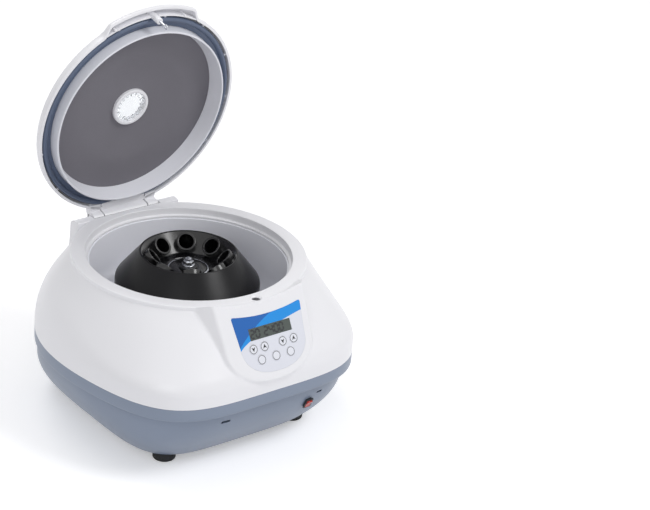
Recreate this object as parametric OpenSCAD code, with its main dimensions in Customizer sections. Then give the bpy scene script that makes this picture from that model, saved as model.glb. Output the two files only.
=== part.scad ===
// Compact bench centrifuge with a round lid and an eight-place angle rotor.
// The origin lies in the plane of the bench under the middle of the part, +Z is up, the panel faces -Y.
// The lid is drawn open, as it stands at rest on its friction hinge.

/* [Housing] */
// Half of the housing's width, and the radius of its round rear
body_r = 180; // [178:1:184]
// Distance from the middle of the housing to its flat front
front_depth = 180.5; // [178:0.5:184]
// How square the front corners are, 2 is round
front_square = 4; // [3:0.5:5]
// Height of the seam between the two housings
seam_z = 103.5; // [100:0.5:107]
// Height of the band below the seam
band_h = 16; // [13:0.5:19]
// Height of the top of the rim
rim_z = 202.5; // [200:0.5:206]
// How far the rim stands out past the lid
rim_margin = 4.6; // [3.6:0.2:6]
// Width of the rim, from the mouth of the chamber to the outer edge
rim_width = 21.6; // [20.6:0.2:22.6]
// Depth of the step inside the rim
rim_step = 9; // [7:0.5:9.5]
// Thickness of the housing walls
wall = 3; // [2.5:0.25:3.5]

/* [Lower housing] */
// Half of the width at the bottom
bottom_half = 126; // [124:1:132]
// Height of the bottom edge over the bench
bottom_z = 10; // [8:0.5:12]
// How far the wall steps in below the band
band_step = 10.5; // [10:0.25:12]
// How far each foot stands in from the side of the bottom
foot_side_in = 32; // [29:1:36]
// How far the front feet stand in from the front of the bottom
foot_front_in = 25; // [23:1:29]
// How far the rear feet stand in from the rear of the bottom
foot_rear_in = 45; // [37:1:49]
// Radius of a foot
foot_r = 13.8; // [12:0.2:15]

/* [Chamber] */
// How far the bowl's wall stands in from the edge of the mouth
bowl_inset = 1.5; // [1.5:0.1:3]
// Height of the bowl's floor
floor_z = 132; // [130:1:136]
// Thickness of the bowl's sheet
bowl_t = 1.2; // [1:0.1:1.4]

/* [Rotor] */
// Radius of the rotor's upper rim
rotor_rim_r = 59; // [58:0.5:61]
// Height of the rotor's upper rim
rotor_top_z = 203.5; // [202:0.5:205]
// Largest radius of the rotor
rotor_r = 87.3; // [86:0.5:90]
// Height at which the rotor's cone ends
rotor_cone_z = 168; // [165:0.5:170]
// Height of the rotor's lower edge
rotor_low_z = 150; // [148:0.5:154]
// Bore of a tube sleeve
well_d = 18; // [17:0.25:18.5]
// Depth of a tube sleeve
well_depth = 45; // [41:0.5:46]
// Radius of the circle through the mouths of the sleeves
well_r = 41; // [40.5:0.25:42]
// Height of the mouths of the sleeves
well_z = 197; // [196:0.25:198]
// Turn at which the rotor rests, as in the photograph of the product
rotor_turn = 14.5; // [0:0.5:44.5]

/* [Lid] */
// Outer radius of the lid
lid_r = 137; // [135.5:0.5:138]
// Height of the lid's dome over its edge
dome_h = 27; // [26:0.5:30]
// Thickness of the lid's shell
lid_t = 2.6; // [2.2:0.1:2.8]
// Radius of the viewport
view_r = 21.2; // [19:0.2:22]
// Angle at which the open lid stands, as in the photograph of the product
open_angle = 79.3; // [70:0.1:85]
// Half width of the finger lip at the front of the lid
visor_half = 61; // [55:1:64]
// How far the finger lip stands out from the lid
visor_out = 10.5; // [8:0.5:11.5]

/* [Panel] */
// Slope of the panel from level
panel_tilt = 61; // [60:0.5:63]
// Sideways place of the panel's middle
panel_x = 5; // [0:1:6]
// Half width of the overlay at its top
overlay_half = 49.5; // [46:0.5:51]
// Width of the display
lcd_w = 59.5; // [50:0.5:62]
// Height of the display
lcd_h = 14; // [12:0.5:15]
// Diameter of a key
key_d = 11.6; // [10:0.1:12]
// Travel of a key
key_travel = 0.8; // [0.4:0.1:1]

/* [Front switch] */
// Sideways place of the power switch
switch_x = 65; // [55:1:72]
// Height of the power switch
switch_z = 59.5; // [54:0.5:62]

/* [Hidden] */
$fn = 96;

// Segments round each lofted housing
loft_n = 96;
// Clearance between parts that lie beside each other
gap = 0.3;
// Clearance of a running fit
fit = 0.05;
// A cut runs this far past the face it starts from
past = 1;

// Colours
white = [0.93, 0.93, 0.95];
slate = [0.46, 0.52, 0.60];
silver = [0.77, 0.78, 0.83];
steel = [0.72, 0.73, 0.75];
black = [0.08, 0.08, 0.09];
dark_grey = [0.43, 0.42, 0.45];
gasket_blue = [0.38, 0.44, 0.54];
panel_blue = [0.14, 0.47, 0.78];
lcd_green = [0.42, 0.48, 0.44];
red = [0.69, 0.19, 0.19];
board_green = [0.10, 0.35, 0.20];
clear = [0.85, 0.88, 0.90, 0.4];

// The rim, the mouth and the bowl follow the lid
rim_r = lid_r + rim_margin;
mouth_r = rim_r - rim_width;
bowl_r = mouth_r - bowl_inset;

// Outline of the housing: the middle of the plan lies a little in front of the spindle
body_y = -2.5;
side_square = 2.13;
rear_square = 2;

function mix(a, b, t) = a + (b - a) * t;
function smooth(t) = let (c = min(max(t, 0), 1)) c * c * (3 - 2 * c);
// Radius of a plan outline in one direction, with its own squareness at front, side and rear
function plan_r(angle, half, front, rear, nf, ns, nr) =
    let (
        n = ns * pow(cos(angle), 2) + (sin(angle) < 0 ? nf : nr) * pow(sin(angle), 2),
        depth = sin(angle) < 0 ? front : rear
    )
    pow(pow(abs(cos(angle)) / half, n) + pow(abs(sin(angle)) / depth, n), -1 / n);
function on_plan(angle, r, z, middle = body_y) = [r * cos(angle), middle + r * sin(angle), z];
function body_plan_r(angle, inset) =
    plan_r(angle, body_r - inset, front_depth - inset, body_r - inset, front_square, side_square, rear_square);

// A closed skin through a loop of rings: up the outside and down the inside
module skin(rings) {
    count = len(rings);
    n = len(rings[0]);
    polyhedron(
        points = [for (ring = rings) each ring],
        faces = [
            for (j = [0:count - 1], i = [0:n - 1])
                let (k = (i + 1) % n, a = j * n, b = ((j + 1) % count) * n)
                each [[a + i, b + i, b + k], [a + i, b + k, a + k]]
        ],
        convexity = 6
    );
}

// A solid through a stack of rings, closed at both ends
module stack(rings) {
    count = len(rings);
    n = len(rings[0]);
    polyhedron(
        points = [for (ring = rings) each ring],
        faces = concat(
            [[for (i = [0:n - 1]) i]],
            [[for (i = [n - 1:-1:0]) (count - 1) * n + i]],
            [
                for (j = [0:count - 2], i = [0:n - 1])
                    let (k = (i + 1) % n, a = j * n, b = (j + 1) * n)
                    each [[a + i, b + i, b + k], [a + i, b + k, a + k]]
            ]
        ),
        convexity = 4
    );
}

// A cylinder along X between two places
module bar_x(x0, x1, r) {
    translate([x0, 0, 0])
    rotate([0, 90, 0])
    cylinder(h = x1 - x0, r = r);
}

// A plate with round corners, centred, from z0 to z1
module round_plate(w, h, r, z0, z1) {
    translate([0, 0, z0])
    linear_extrude(height = z1 - z0)
    polygon([
        for (c = [[1, 1, 0], [-1, 1, 90], [-1, -1, 180], [1, -1, 270]], a = [0:30:90])
            [c[0] * (w / 2 - r) + r * cos(c[2] + a), c[1] * (h / 2 - r) + r * sin(c[2] + a)]
    ]);
}

// Lower housing: a band under the seam, a step, and a wall that curves in to the bottom
band_z = seam_z - band_h;
step_z = band_z - 3;
curl = 1.8;
bottom_square = 4.5;
bottom_rear = bottom_half + 16;
flange_in = 26;
flange_t = 3;
function sink(z) = (step_z - z) / (step_z - bottom_z);
// One ring of the wall below the step, thinned by an inset
function wall_ring(z, inset) =
    let (t = sink(z), k = pow(t, curl))
    [
        for (i = [0:loft_n - 1])
            let (a = i * 360 / loft_n)
            on_plan(
                a,
                plan_r(
                    a,
                    mix(body_r - band_step, bottom_half, k) - inset,
                    mix(front_depth - band_step, bottom_half, k) - inset,
                    mix(body_r - band_step, bottom_rear, k) - inset,
                    mix(front_square, bottom_square, t),
                    mix(side_square, bottom_square - 0.5, t),
                    mix(rear_square, bottom_square - 0.5, t)
                ),
                z,
                mix(body_y, 0, t)
            )
    ];
function band_ring(z, inset) = [
    for (i = [0:loft_n - 1])
        let (a = i * 360 / loft_n)
        on_plan(a, body_plan_r(a, inset), z)
];
wall_levels = [0.07, 0.18, 0.32, 0.48, 0.65, 0.8, 0.92];

// Power switch: its place on the sloping front wall
function front_y(z) = body_y * (1 - sink(z)) - mix(front_depth - band_step, bottom_half, pow(sink(z), curl));
function rear_y(z) = body_y * (1 - sink(z)) + mix(body_r - band_step, bottom_rear, pow(sink(z), curl));
switch_lean = atan((front_y(switch_z - 6) - front_y(switch_z + 6)) / 12);
bezel_w = 10.5;
bezel_h = 15;
switch_body_w = bezel_w - 2;
switch_body_h = bezel_h - 2;
switch_deep = 14;
module on_switch() {
    translate([switch_x, front_y(switch_z) - 0.4, switch_z])
    rotate([90 + switch_lean, 0, 0])
    children();
}

// Emergency release slots in the front wall
slot_z = 71.5;
slot_left_x = -58;
slot_right_x = 80;
module front_slot(x, w, h) {
    translate([x, front_y(slot_z), slot_z])
    rotate([90, 0, 0])
    round_plate(w, h, h / 2.2, -8, 6);
}

// Rear bezel with the mains inlet and the fuse drawer
rear_z = 46;
rear_w = 62;
rear_h = 36;
rear_lean = atan((rear_y(rear_z + 15) - rear_y(rear_z - 15)) / 30);
rear_deep = 14;
module on_rear() {
    translate([0, rear_y(rear_z) + 0.8, rear_z])
    rotate([-90 - rear_lean, 0, 0])
    rotate([0, 0, 180])
    children();
}

// Screws that join the housings from under the band
screw_angles = [-140, -90, -40, 35, 90, 145];
screw_inset = 6;
screw_r = 1.9;
screw_head_r = 3.1;
boss_r = 4;
screw_seat_z = step_z + 9;
screw_head_t = 3;
function screw_place(a) = on_plan(a, body_plan_r(a, screw_inset), 0);
module at_screws() {
    for (a = screw_angles) {
        translate(screw_place(a))
        children();
    }
}

// Feet
foot_x = bottom_half - foot_side_in;
foot_front = bottom_half - foot_front_in;
foot_rear = bottom_rear - foot_rear_in;
foot_places = [
    [-foot_x, -foot_front, 0], [foot_x, -foot_front, 0],
    [-foot_x, foot_rear, 0], [foot_x, foot_rear, 0]
];
stud_r = 3;
plate_z = bottom_z + flange_t;
plate_t = 2;
module at_feet() {
    for (p = foot_places) {
        translate(p)
        children();
    }
}

module lower_housing() {
    color(slate)
    placed()
    difference() {
        union() {
            skin(concat(
                [wall_ring(bottom_z, 3)],
                [for (t = [len(wall_levels) - 1:-1:0]) wall_ring(mix(step_z, bottom_z, wall_levels[t]), 0)],
                [wall_ring(step_z, 0)],
                [band_ring(band_z, 1.2)],
                [band_ring(band_z + 1.6, 0.2)],
                [band_ring(seam_z, 0)],
                [band_ring(seam_z, wall)],
                [band_ring(band_z + wall, wall)],
                [wall_ring(step_z - 1, wall)],
                [for (t = [1, 3, 5, 6]) wall_ring(mix(step_z, bottom_z, wall_levels[t]), wall)],
                [wall_ring(bottom_z + flange_t, wall + 4)],
                [wall_ring(bottom_z + flange_t, flange_in)],
                [wall_ring(bottom_z, flange_in)]
            ));
            // Screw bosses inside the band
            intersection() {
                at_screws()
                translate([0, 0, step_z - 6])
                cylinder(h = seam_z - step_z + 6, r = boss_r);
                stack([band_ring(step_z - 6, 10), band_ring(band_z, 1.2), band_ring(seam_z, 1)]);
            }
            // Pads round the foot studs, joined to the flange
            at_feet()
            translate([0, 0, bottom_z])
            cylinder(h = flange_t, r = foot_r + 0.7);
        }
        at_screws() {
            translate([0, 0, step_z - 12])
            cylinder(h = seam_z - step_z + 14, r = screw_r + gap);
            translate([0, 0, step_z - 14])
            cylinder(h = screw_seat_z - step_z + 14, r = screw_head_r + 0.1);
        }
        at_feet()
        translate([0, 0, bottom_z - past])
        cylinder(h = flange_t + 2 * past, r = stud_r + gap);
        // Power switch opening
        on_switch()
        round_plate(switch_body_w + 2 * gap, switch_body_h + 2 * gap, 1, -12, 8);
        front_slot(slot_left_x, 13, 3.4);
        front_slot(slot_right_x, 9, 2.8);
        // Opening for the rear bezel
        on_rear()
        translate([0, 0, -30])
        linear_extrude(height = 60)
        square([rear_w + 2 * fit, rear_h + 2 * fit], center = true);
        // Vent slots in the flanks and the rear
        for (side = [-1, 1], k = [0:5]) {
            translate([side * (50 + 9 * k) - 1.7, 110, 42])
            cube([3.4, 70, 26]);
        }
    }
}

// Upper housing: the front shoulder is low and crisp, the sides and rear are high and soft
front_shoulder = 23;
rear_shoulder = 38;
rim_low_z = rim_z - 5;
function frontness(angle) = smooth((-sin(angle) + 0.2) / 0.8);
function shoulder(angle) = seam_z + mix(rear_shoulder, front_shoulder, frontness(angle));
// Place on the slope from the shoulder, 0, to the rim, 1, for ring number k
function slope_at(angle, k) =
    let (
        w = frontness(angle),
        zs = shoulder(angle),
        soft = mix(30, 9, w),
        reach = mix(0.46, 0.13, w),
        u = (k - 1) / 4
    )
    k == 0 ? [0, seam_z]
    : k <= 5 ? [u * u * reach, pow(1 - u, 2) * (zs - soft) + 2 * u * (1 - u) * zs
        + u * u * mix(zs, rim_low_z, reach)]
    : [1, rim_low_z];
function upper_ring(k, inset, drop = 0) = [
    for (i = [0:loft_n - 1])
        let (
            a = i * 360 / loft_n,
            s = slope_at(a, k),
            r = mix(body_plan_r(a, inset), rim_r - 0.2 - inset, s[0]),
            y = mix(body_y, 0, s[0])
        )
        on_plan(a, r, s[1] - drop, y)
];

// Rim: a band, a step and a ledge round the mouth
band_in_r = mouth_r + 4;
ledge_z = rim_z - rim_step;
ledge_t = 3;
edge = 2;
function arc(c, r, a0, a1, n = 4) = [
    for (i = [0:n])
        let (a = mix(a0, a1, i / n))
        [c[0] + r * cos(a), c[1] + r * sin(a)]
];
module rim_ring() {
    rotate_extrude()
    polygon(concat(
        [[mouth_r, ledge_z - ledge_t], [rim_r - 5, ledge_z - ledge_t], [rim_r, ledge_z]],
        arc([rim_r - edge, rim_z - edge], edge, 0, 90),
        arc([band_in_r + 1, rim_z - 1], 1, 90, 180),
        [[band_in_r - 0.6, ledge_z], [mouth_r, ledge_z]]
    ));
}

// Hinge: the axis lies just inside the rear edge of the rim
hinge_y = rim_r - 1.6;
hinge_z = rim_z - 4.5;
barrel_r = 6.5;
pin_r = 3;
bush_r = 4;
tongue_half = 47.5;
cover_half = 32;
lug_half = 74;
lug_in_y = mouth_r + 9.5;
lug_low_z = rim_z - 42;
pocket_r = barrel_r + 1.6;
module at_hinge() {
    translate([0, hinge_y, hinge_z])
    children();
}
module hinge_lugs() {
    translate([-lug_half, lug_in_y, lug_low_z])
    cube([2 * lug_half, hinge_y + barrel_r - lug_in_y, hinge_z - lug_low_z]);
    translate([-lug_half, lug_in_y, hinge_z - past])
    cube([2 * lug_half, hinge_y - lug_in_y, rim_z - hinge_z + past]);
    at_hinge()
    bar_x(-lug_half, lug_half, barrel_r);
}
module hinge_pocket() {
    at_hinge()
    bar_x(-tongue_half - 1, tongue_half + 1, pocket_r);
    translate([-tongue_half - 1, hinge_y - pocket_r, hinge_z])
    cube([2 * tongue_half + 2, 40, 30]);
}

// Panel: a raised shield-shaped pad whose upper edge runs into the rim
panel_top_y = -(rim_r + 0.4);
panel_h = 93;
shield_mid = -48;
// The spindle stands behind the middle of the part, as the panel reaches out in front
front_reach = panel_h * cos(panel_tilt) - panel_top_y;
spindle_y = (front_reach - body_r - body_y) / 2;
module placed() {
    translate([0, spindle_y, 0])
    children();
}
module on_panel() {
    translate([panel_x, panel_top_y, rim_z])
    rotate([panel_tilt, 0, 0])
    children();
}
// A shield: straight sides to the middle, a round lower end
function shield(top_half, mid_half, top, low, sag = 0, grow = 0) =
    concat(
        [
            for (i = [0:20])
                let (a = 180 + 9 * i, n = 2.3)
                [
                    sign(cos(a)) * (mid_half + grow) * pow(abs(cos(a)), 2 / n),
                    shield_mid + sign(sin(a)) * (shield_mid - low + grow) * pow(abs(sin(a)), 2 / n)
                ]
        ],
        [
            for (i = [0:12])
                let (u = 1 - i / 6)
                [(top_half + grow) * u, top + grow - sag * (1 - u * u)]
        ]
    );
function lift(points, z) = [for (p = points) [p[0], p[1], z]];
pad_top_half = visor_half + 3;
pad_mid_half = visor_half;
pad_low = -panel_h;
overlay_t = 0.6;
overlay_top = -11;
overlay_low = -84;
overlay_sag = 5.5;
function pad_shape(grow) = shield(pad_top_half, pad_mid_half, 8, pad_low, 0, grow);
function overlay_shape(grow) =
    shield(overlay_half, overlay_half - 3.5, overlay_top, overlay_low, overlay_sag, grow);
module panel_pad() {
    intersection() {
        on_panel()
        translate([-panel_x, 0, 0])
        stack([
            for (s = [[13, -16], [4.4, -6], [1.6, -2.2], [0.5, -0.6], [0, 0]])
                lift(pad_shape(s[0]), s[1])
        ]);
        translate([-body_r, -body_r - 30, seam_z])
        cube([2 * body_r, body_r + 30 - band_in_r + 40, rim_z - seam_z]);
    }
}

// Display and keys on the panel
lcd_v = -36;
row_1_v = -52.8;
row_2_v = -66.8;
key_places = [
    [-28.8, row_1_v], [-13, row_1_v], [13, row_1_v], [28.8, row_1_v],
    [-20.7, row_2_v], [0, row_2_v], [20.7, row_2_v]
];
flange_d = key_d + 2;
pad_t = 3;
module at_keys() {
    for (p = key_places) {
        translate([p[0], p[1], 0])
        children();
    }
}
module lcd_slab(grow, z0, z1) {
    translate([0, lcd_v, 0])
    round_plate(lcd_w + 2 * grow, lcd_h + 2 * grow, 0.8, z0, z1);
}
window_grow = 1.6;
module panel_bay(shrink) {
    polygon(shield(
        overlay_half - 3 - shrink, overlay_half - 7 - shrink, overlay_top - 9 - shrink,
        overlay_low + 6 + shrink
    ));
}

// Lid lock under the latch hole
striker_y = -(rim_r - 6);
latch_r = 4.9;
lock_z = ledge_z - ledge_t;
lock_h = 15;
lock_half = 15;
lock_front_y = -(rim_r + 2);
lock_back_y = -(mouth_r + 5.6);
boss_hole_r = 5;
loop_z = lock_z - 11.5;
bolt_r = 1.25;
bolt_len = 22;
bolt_x = 3.4;
solenoid_len = 26;

module upper_housing() {
    color(white)
    placed()
    difference() {
        union() {
            skin(concat(
                [for (k = [0:6]) upper_ring(k, 0)],
                [upper_ring(6, wall + 0.6, 2)],
                [for (k = [5, 3, 1, 0]) upper_ring(k, wall)]
            ));
            rim_ring();
            panel_pad();
            hinge_lugs();
            // Screw bosses that stand on the lower housing's bosses
            intersection() {
                at_screws()
                translate([0, 0, seam_z])
                cylinder(h = 16, r = boss_r);
                stack([for (k = [0, 1]) upper_ring(k, 1)]);
            }
        }
        // Space behind the panel, and the bay of the lid lock
        on_panel()
        translate([0, 0, -40])
        linear_extrude(height = 40 - pad_t)
        panel_bay(0);
        translate([-lock_half - 1, lock_front_y - 1, lock_z - lock_h - 8])
        cube([2 * lock_half + solenoid_len + 5, lock_back_y - lock_front_y + 5, lock_h + 8]);
        on_panel()
        translate([0, 0, -overlay_t])
        linear_extrude(height = 6)
        polygon(overlay_shape(0.1));
        on_panel()
        lcd_slab(window_grow + 0.2, -pad_t - past, 0);
        on_panel()
        at_keys()
        translate([0, 0, -pad_t - past])
        cylinder(h = pad_t + past, r = flange_d / 2 + gap);
        // The mouth stays clear of the pad and the lugs
        translate([0, 0, ledge_z])
        cylinder(h = 30, r1 = band_in_r - 0.6, r2 = band_in_r + 0.4);
        translate([0, 0, floor_z])
        cylinder(h = ledge_z - floor_z + past, r = mouth_r);
        translate([0, striker_y, lock_z - past])
        cylinder(h = rim_step + ledge_t + 3, r = latch_r);
        hinge_pocket();
        at_hinge()
        bar_x(-lug_half - past, lug_half + past, pin_r + fit);
        // Hollows in the hinge block
        translate([-tongue_half + 2, lug_in_y + wall, lug_low_z - past])
        cube([2 * tongue_half - 4, hinge_y + barrel_r - lug_in_y - 2 * wall, 26]);
        at_screws()
        translate([0, 0, seam_z - past])
        cylinder(h = 12 + past, r = screw_r);
    }
}

// Chamber bowl: a pressed bowl that hangs from its flange under the ledge
bowl_flange_r = mouth_r + 5;
bowl_corner = 16;
floor_hole_r = 24;
bowl_top_z = ledge_z - ledge_t;
module chamber_bowl() {
    color(silver)
    placed()
    rotate_extrude()
    polygon(concat(
        [[bowl_flange_r, bowl_top_z], [bowl_r, bowl_top_z]],
        arc([bowl_r - bowl_corner, floor_z + bowl_corner], bowl_corner, 0, -90, 8),
        [[floor_hole_r + 6, floor_z], [floor_hole_r + 2, floor_z + 3], [floor_hole_r, floor_z + 3]],
        [[floor_hole_r, floor_z + 3 - bowl_t], [floor_hole_r + 1.6, floor_z + 3 - bowl_t]],
        [[floor_hole_r + 5.6, floor_z - bowl_t]],
        arc([bowl_r - bowl_corner, floor_z + bowl_corner], bowl_corner + bowl_t, -90, 0, 8),
        [[bowl_r + bowl_t, bowl_top_z - bowl_t], [bowl_flange_r, bowl_top_z - bowl_t]]
    ));
}

// Base plate: sheet steel on the flange of the lower housing
mount_r = 62;
mount_angles = [45, 135, 225, 315];
module base_plate() {
    color(steel)
    placed()
    difference() {
        translate([0, 0, plate_z])
        linear_extrude(height = plate_t)
        polygon([for (p = wall_ring(bottom_z + flange_t, wall + 6)) [p[0], p[1]]]);
        at_feet()
        translate([0, 0, plate_z - past])
        cylinder(h = plate_t + 2 * past, r = stud_r + gap);
        for (k = [-3:3]) {
            translate([k * 9 - 2, -30, plate_z - past])
            cube([4, 60, plate_t + 2 * past]);
        }
    }
}

module foot() {
    rotate_extrude()
    polygon(concat(
        [[0, 0]],
        arc([foot_r - 2, 2], 2, -90, 0),
        [[foot_r, 5], [foot_r - 1.2, bottom_z - gap], [foot_r - 1.2, bottom_z], [stud_r, bottom_z]],
        [[stud_r, plate_z + plate_t + 8], [0, plate_z + plate_t + 8]]
    ));
}
module foot_front_left() {
    color(black)
    placed()
    translate(foot_places[0])
    foot();
}
module foot_front_right() {
    color(black)
    placed()
    translate(foot_places[1])
    foot();
}
module foot_rear_left() {
    color(black)
    placed()
    translate(foot_places[2])
    foot();
}
module foot_rear_right() {
    color(black)
    placed()
    translate(foot_places[3])
    foot();
}
nut_h = 5;
module foot_nuts() {
    color(steel)
    placed()
    at_feet()
    translate([0, 0, plate_z + plate_t])
    difference() {
        cylinder(h = nut_h, r = 5.8, $fn = 6);
        translate([0, 0, -past])
        cylinder(h = nut_h + 2 * past, r = stud_r + fit);
    }
}

module housing_screws() {
    color(steel)
    placed()
    at_screws() {
        translate([0, 0, screw_seat_z - screw_head_t])
        cylinder(h = screw_head_t, r = screw_head_r);
        translate([0, 0, screw_seat_z])
        cylinder(h = seam_z + 10 - screw_seat_z, r = screw_r - fit);
    }
}

// Drive: the motor stands on a bracket over four rubber mounts
motor_r = 47;
motor_low_z = 50;
motor_top_z = floor_z - 12;
bracket_t = 3;
bracket_z = motor_low_z - bracket_t;
spindle_r = 6;
bearing_r = 14;
bearing_h = 9;
module motor_body() {
    color(dark_grey)
    placed()
    difference() {
        rotate_extrude()
        polygon([
            [0, motor_low_z], [motor_r + 6, motor_low_z], [motor_r + 6, motor_low_z + 4],
            [motor_r, motor_low_z + 6], [motor_r, motor_top_z - 8], [motor_r - 5, motor_top_z - 2],
            [26, motor_top_z], [0, motor_top_z]
        ]);
        translate([0, 0, motor_low_z - past])
        cylinder(h = motor_top_z - motor_low_z + 2 * past, r = spindle_r + 1.5);
        for (z = [motor_low_z - past, motor_top_z - bearing_h]) {
            translate([0, 0, z])
            cylinder(h = bearing_h + past, r = bearing_r);
        }
    }
}
module motor_bearings() {
    color(steel)
    placed()
    for (z = [motor_low_z, motor_top_z - bearing_h]) {
        translate([0, 0, z])
        difference() {
            cylinder(h = bearing_h, r = bearing_r);
            translate([0, 0, -past])
            cylinder(h = bearing_h + 2 * past, r = spindle_r + fit);
        }
    }
}
module at_mounts() {
    for (a = mount_angles) {
        rotate([0, 0, a])
        translate([mount_r + 8, 0, 0])
        children();
    }
}
mount_low_z = plate_z + plate_t;
module motor_mounts() {
    color(black)
    placed()
    at_mounts()
    rotate_extrude()
    polygon([
        [0, mount_low_z], [12, mount_low_z], [12, mount_low_z + 5], [9, mount_low_z + 9],
        [9, bracket_z - 9], [12, bracket_z - 5], [12, bracket_z], [0, bracket_z]
    ]);
}
module motor_bracket() {
    color(steel)
    placed()
    difference() {
        translate([0, 0, bracket_z])
        rotate([0, 0, 22.5])
        cylinder(h = bracket_t, r = mount_r + 30, $fn = 8);
        translate([0, 0, bracket_z - past])
        cylinder(h = bracket_t + 2 * past, r = 22);
    }
}

// Boot that closes the floor of the bowl round the spindle and stands on the motor
boot_in_r = 9;
module spindle_seal() {
    color(black)
    placed()
    rotate_extrude()
    polygon([
        [boot_in_r, motor_top_z], [floor_hole_r - 1, motor_top_z], [floor_hole_r - gap, motor_top_z + 3],
        [floor_hole_r - gap, floor_z + 3], [floor_hole_r - 4, floor_z + 6],
        [boot_in_r, floor_z + 6]
    ]);
}

// Drive electronics on the base plate, behind the motor
board_t = 1.6;
post_h = 6;
drive_w = 2 * motor_r + 2;
drive_d = 34;
drive_y = bottom_rear - 50;
module drive_board() {
    board_z = mount_low_z + post_h;
    color(board_green)
    placed() {
        translate([-drive_w / 2, drive_y, board_z])
        cube([drive_w, drive_d, board_t]);
        for (x = [-1, 1], y = [drive_y + 5, drive_y + drive_d - 5]) {
            translate([x * (drive_w / 2 - 6), y, mount_low_z])
            cylinder(h = post_h, r = post_h / 2);
        }
        translate([-drive_w / 2 + 12, drive_y + 6, board_z + board_t])
        cube([26, 20, 16]);
        for (p = [[6, 16], [30, 12]]) {
            translate([p[0], drive_y + p[1], board_z + board_t])
            cylinder(h = 14, r = 8);
        }
    }
}

module panel_overlay() {
    color(panel_blue)
    placed()
    on_panel()
    difference() {
        translate([0, 0, -overlay_t])
        linear_extrude(height = overlay_t)
        polygon(overlay_shape(0));
        lcd_slab(0, -3, 3);
        at_keys()
        translate([0, 0, -3])
        cylinder(h = 6, r = key_d / 2 + 0.2);
    }
}
module display_window() {
    color(lcd_green)
    placed()
    on_panel()
    union() {
        lcd_slab(window_grow, -overlay_t - 1.2, -overlay_t);
        lcd_slab(-fit, -overlay_t - 0.1, -0.1);
    }
}
board_gap = 10;
board_top_v = -33.6;
module display_module() {
    color(black)
    placed()
    on_panel()
    translate([-lcd_w / 2 - 1.25, lcd_v - lcd_h / 2 - 1, -board_gap])
    cube([lcd_w + 2.5, lcd_h + 1, board_gap - pad_t + 0.2]);
}
switch_top = 6.5;
module control_board() {
    color(board_green)
    placed()
    on_panel() {
        translate([0, 0, -board_gap - board_t])
        linear_extrude(height = board_t)
        intersection() {
            panel_bay(1);
            translate([-overlay_half, -panel_h])
            square([2 * overlay_half, panel_h + board_top_v]);
        }
        at_keys()
        translate([0, 0, -board_gap])
        cylinder(h = board_gap - switch_top, r = 3);
        // Posts that hold the board to the back of the pad
        for (p = [[-37, -44], [37, -44], [-10.4, -75], [10.4, -75]]) {
            translate([p[0], p[1], -board_gap])
            cylinder(h = board_gap - pad_t, r = 2);
        }
    }
}
key_proud = 0.5;
module key(i) {
    on_panel()
    translate([key_places[i][0], key_places[i][1], 0]) {
        translate([0, 0, -overlay_t - 0.1])
        cylinder(h = overlay_t + 0.1 + key_proud, r = key_d / 2);
        translate([0, 0, -overlay_t - 1.1])
        cylinder(h = 1.05, r = flange_d / 2);
        translate([0, 0, -switch_top + key_travel + 0.05])
        cylinder(h = switch_top - key_travel - overlay_t - 0.5, r = 1.8);
    }
}
module key_left_down() {
    color(white)
    placed()
    key(0);
}
module key_left_up() {
    color(white)
    placed()
    key(1);
}
module key_right_down() {
    color(white)
    placed()
    key(2);
}
module key_right_up() {
    color(white)
    placed()
    key(3);
}
module key_low_left() {
    color(white)
    placed()
    key(4);
}
module key_low_middle() {
    color(white)
    placed()
    key(5);
}
module key_low_right() {
    color(white)
    placed()
    key(6);
}

// Power switch: a bezel on the front wall and a rocker on a small pin
bezel_t = 1.6;
rocker_w = bezel_w - 3.4;
rocker_h = bezel_h - 3.6;
rocker_pin_r = 1;
rocker_throw = 9;
rocker_deep = -2.4;
module switch_bezel() {
    color(black)
    placed()
    on_switch()
    difference() {
        union() {
            round_plate(bezel_w, bezel_h, 1, 0, bezel_t);
            round_plate(switch_body_w, switch_body_h, 0.8, -switch_deep, past);
        }
        round_plate(rocker_w + 0.5, rocker_h + 0.6, 0.5, -switch_deep + 3, bezel_t + past);
        translate([0, 0, rocker_deep])
        bar_x(-bezel_w, bezel_w, rocker_pin_r + fit);
    }
}
module power_rocker() {
    color(red)
    placed()
    on_switch()
    union() {
        difference() {
            translate([-rocker_w / 2, 0, rocker_deep])
            rotate([rocker_throw, 0, 0])
            rotate([0, 90, 0])
            linear_extrude(height = rocker_w)
            polygon([
                [1.6, -3], [1.6, 3], [-1.5, rocker_h / 2 - 0.3], [-5.2, rocker_h / 2 - 0.4],
                [-4.2, 0], [-5.2, -rocker_h / 2 + 0.4], [-1.5, -rocker_h / 2 + 0.3]
            ]);
            translate([0, 0, rocker_deep])
            bar_x(-bezel_w, bezel_w, rocker_pin_r - 0.1);
        }
        translate([0, 0, rocker_deep])
        bar_x(-switch_body_w / 2, switch_body_w / 2, rocker_pin_r);
    }
}

// Lid lock: a body with the way for the striker, a bolt and its solenoid
module lock_body() {
    color(black)
    placed()
    difference() {
        translate([-lock_half, lock_front_y, lock_z - lock_h])
        cube([2 * lock_half, lock_back_y - lock_front_y, lock_h]);
        translate([0, striker_y, lock_z - lock_h - past])
        cylinder(h = lock_h + 2 * past, r = boss_hole_r + 0.6);
        translate([0, striker_y, loop_z])
        bar_x(0, lock_half + past, bolt_r + fit);
    }
}
module lock_bolt() {
    color(steel)
    placed()
    translate([0, striker_y, loop_z])
    bar_x(bolt_x, bolt_x + bolt_len, bolt_r);
}
module lock_solenoid() {
    color(dark_grey)
    placed()
    difference() {
        translate([lock_half, striker_y - 6, loop_z - 3.4])
        cube([solenoid_len, 12, 14]);
        translate([0, striker_y, loop_z])
        bar_x(lock_half - past, lock_half + 20, bolt_r + fit);
    }
}

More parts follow.
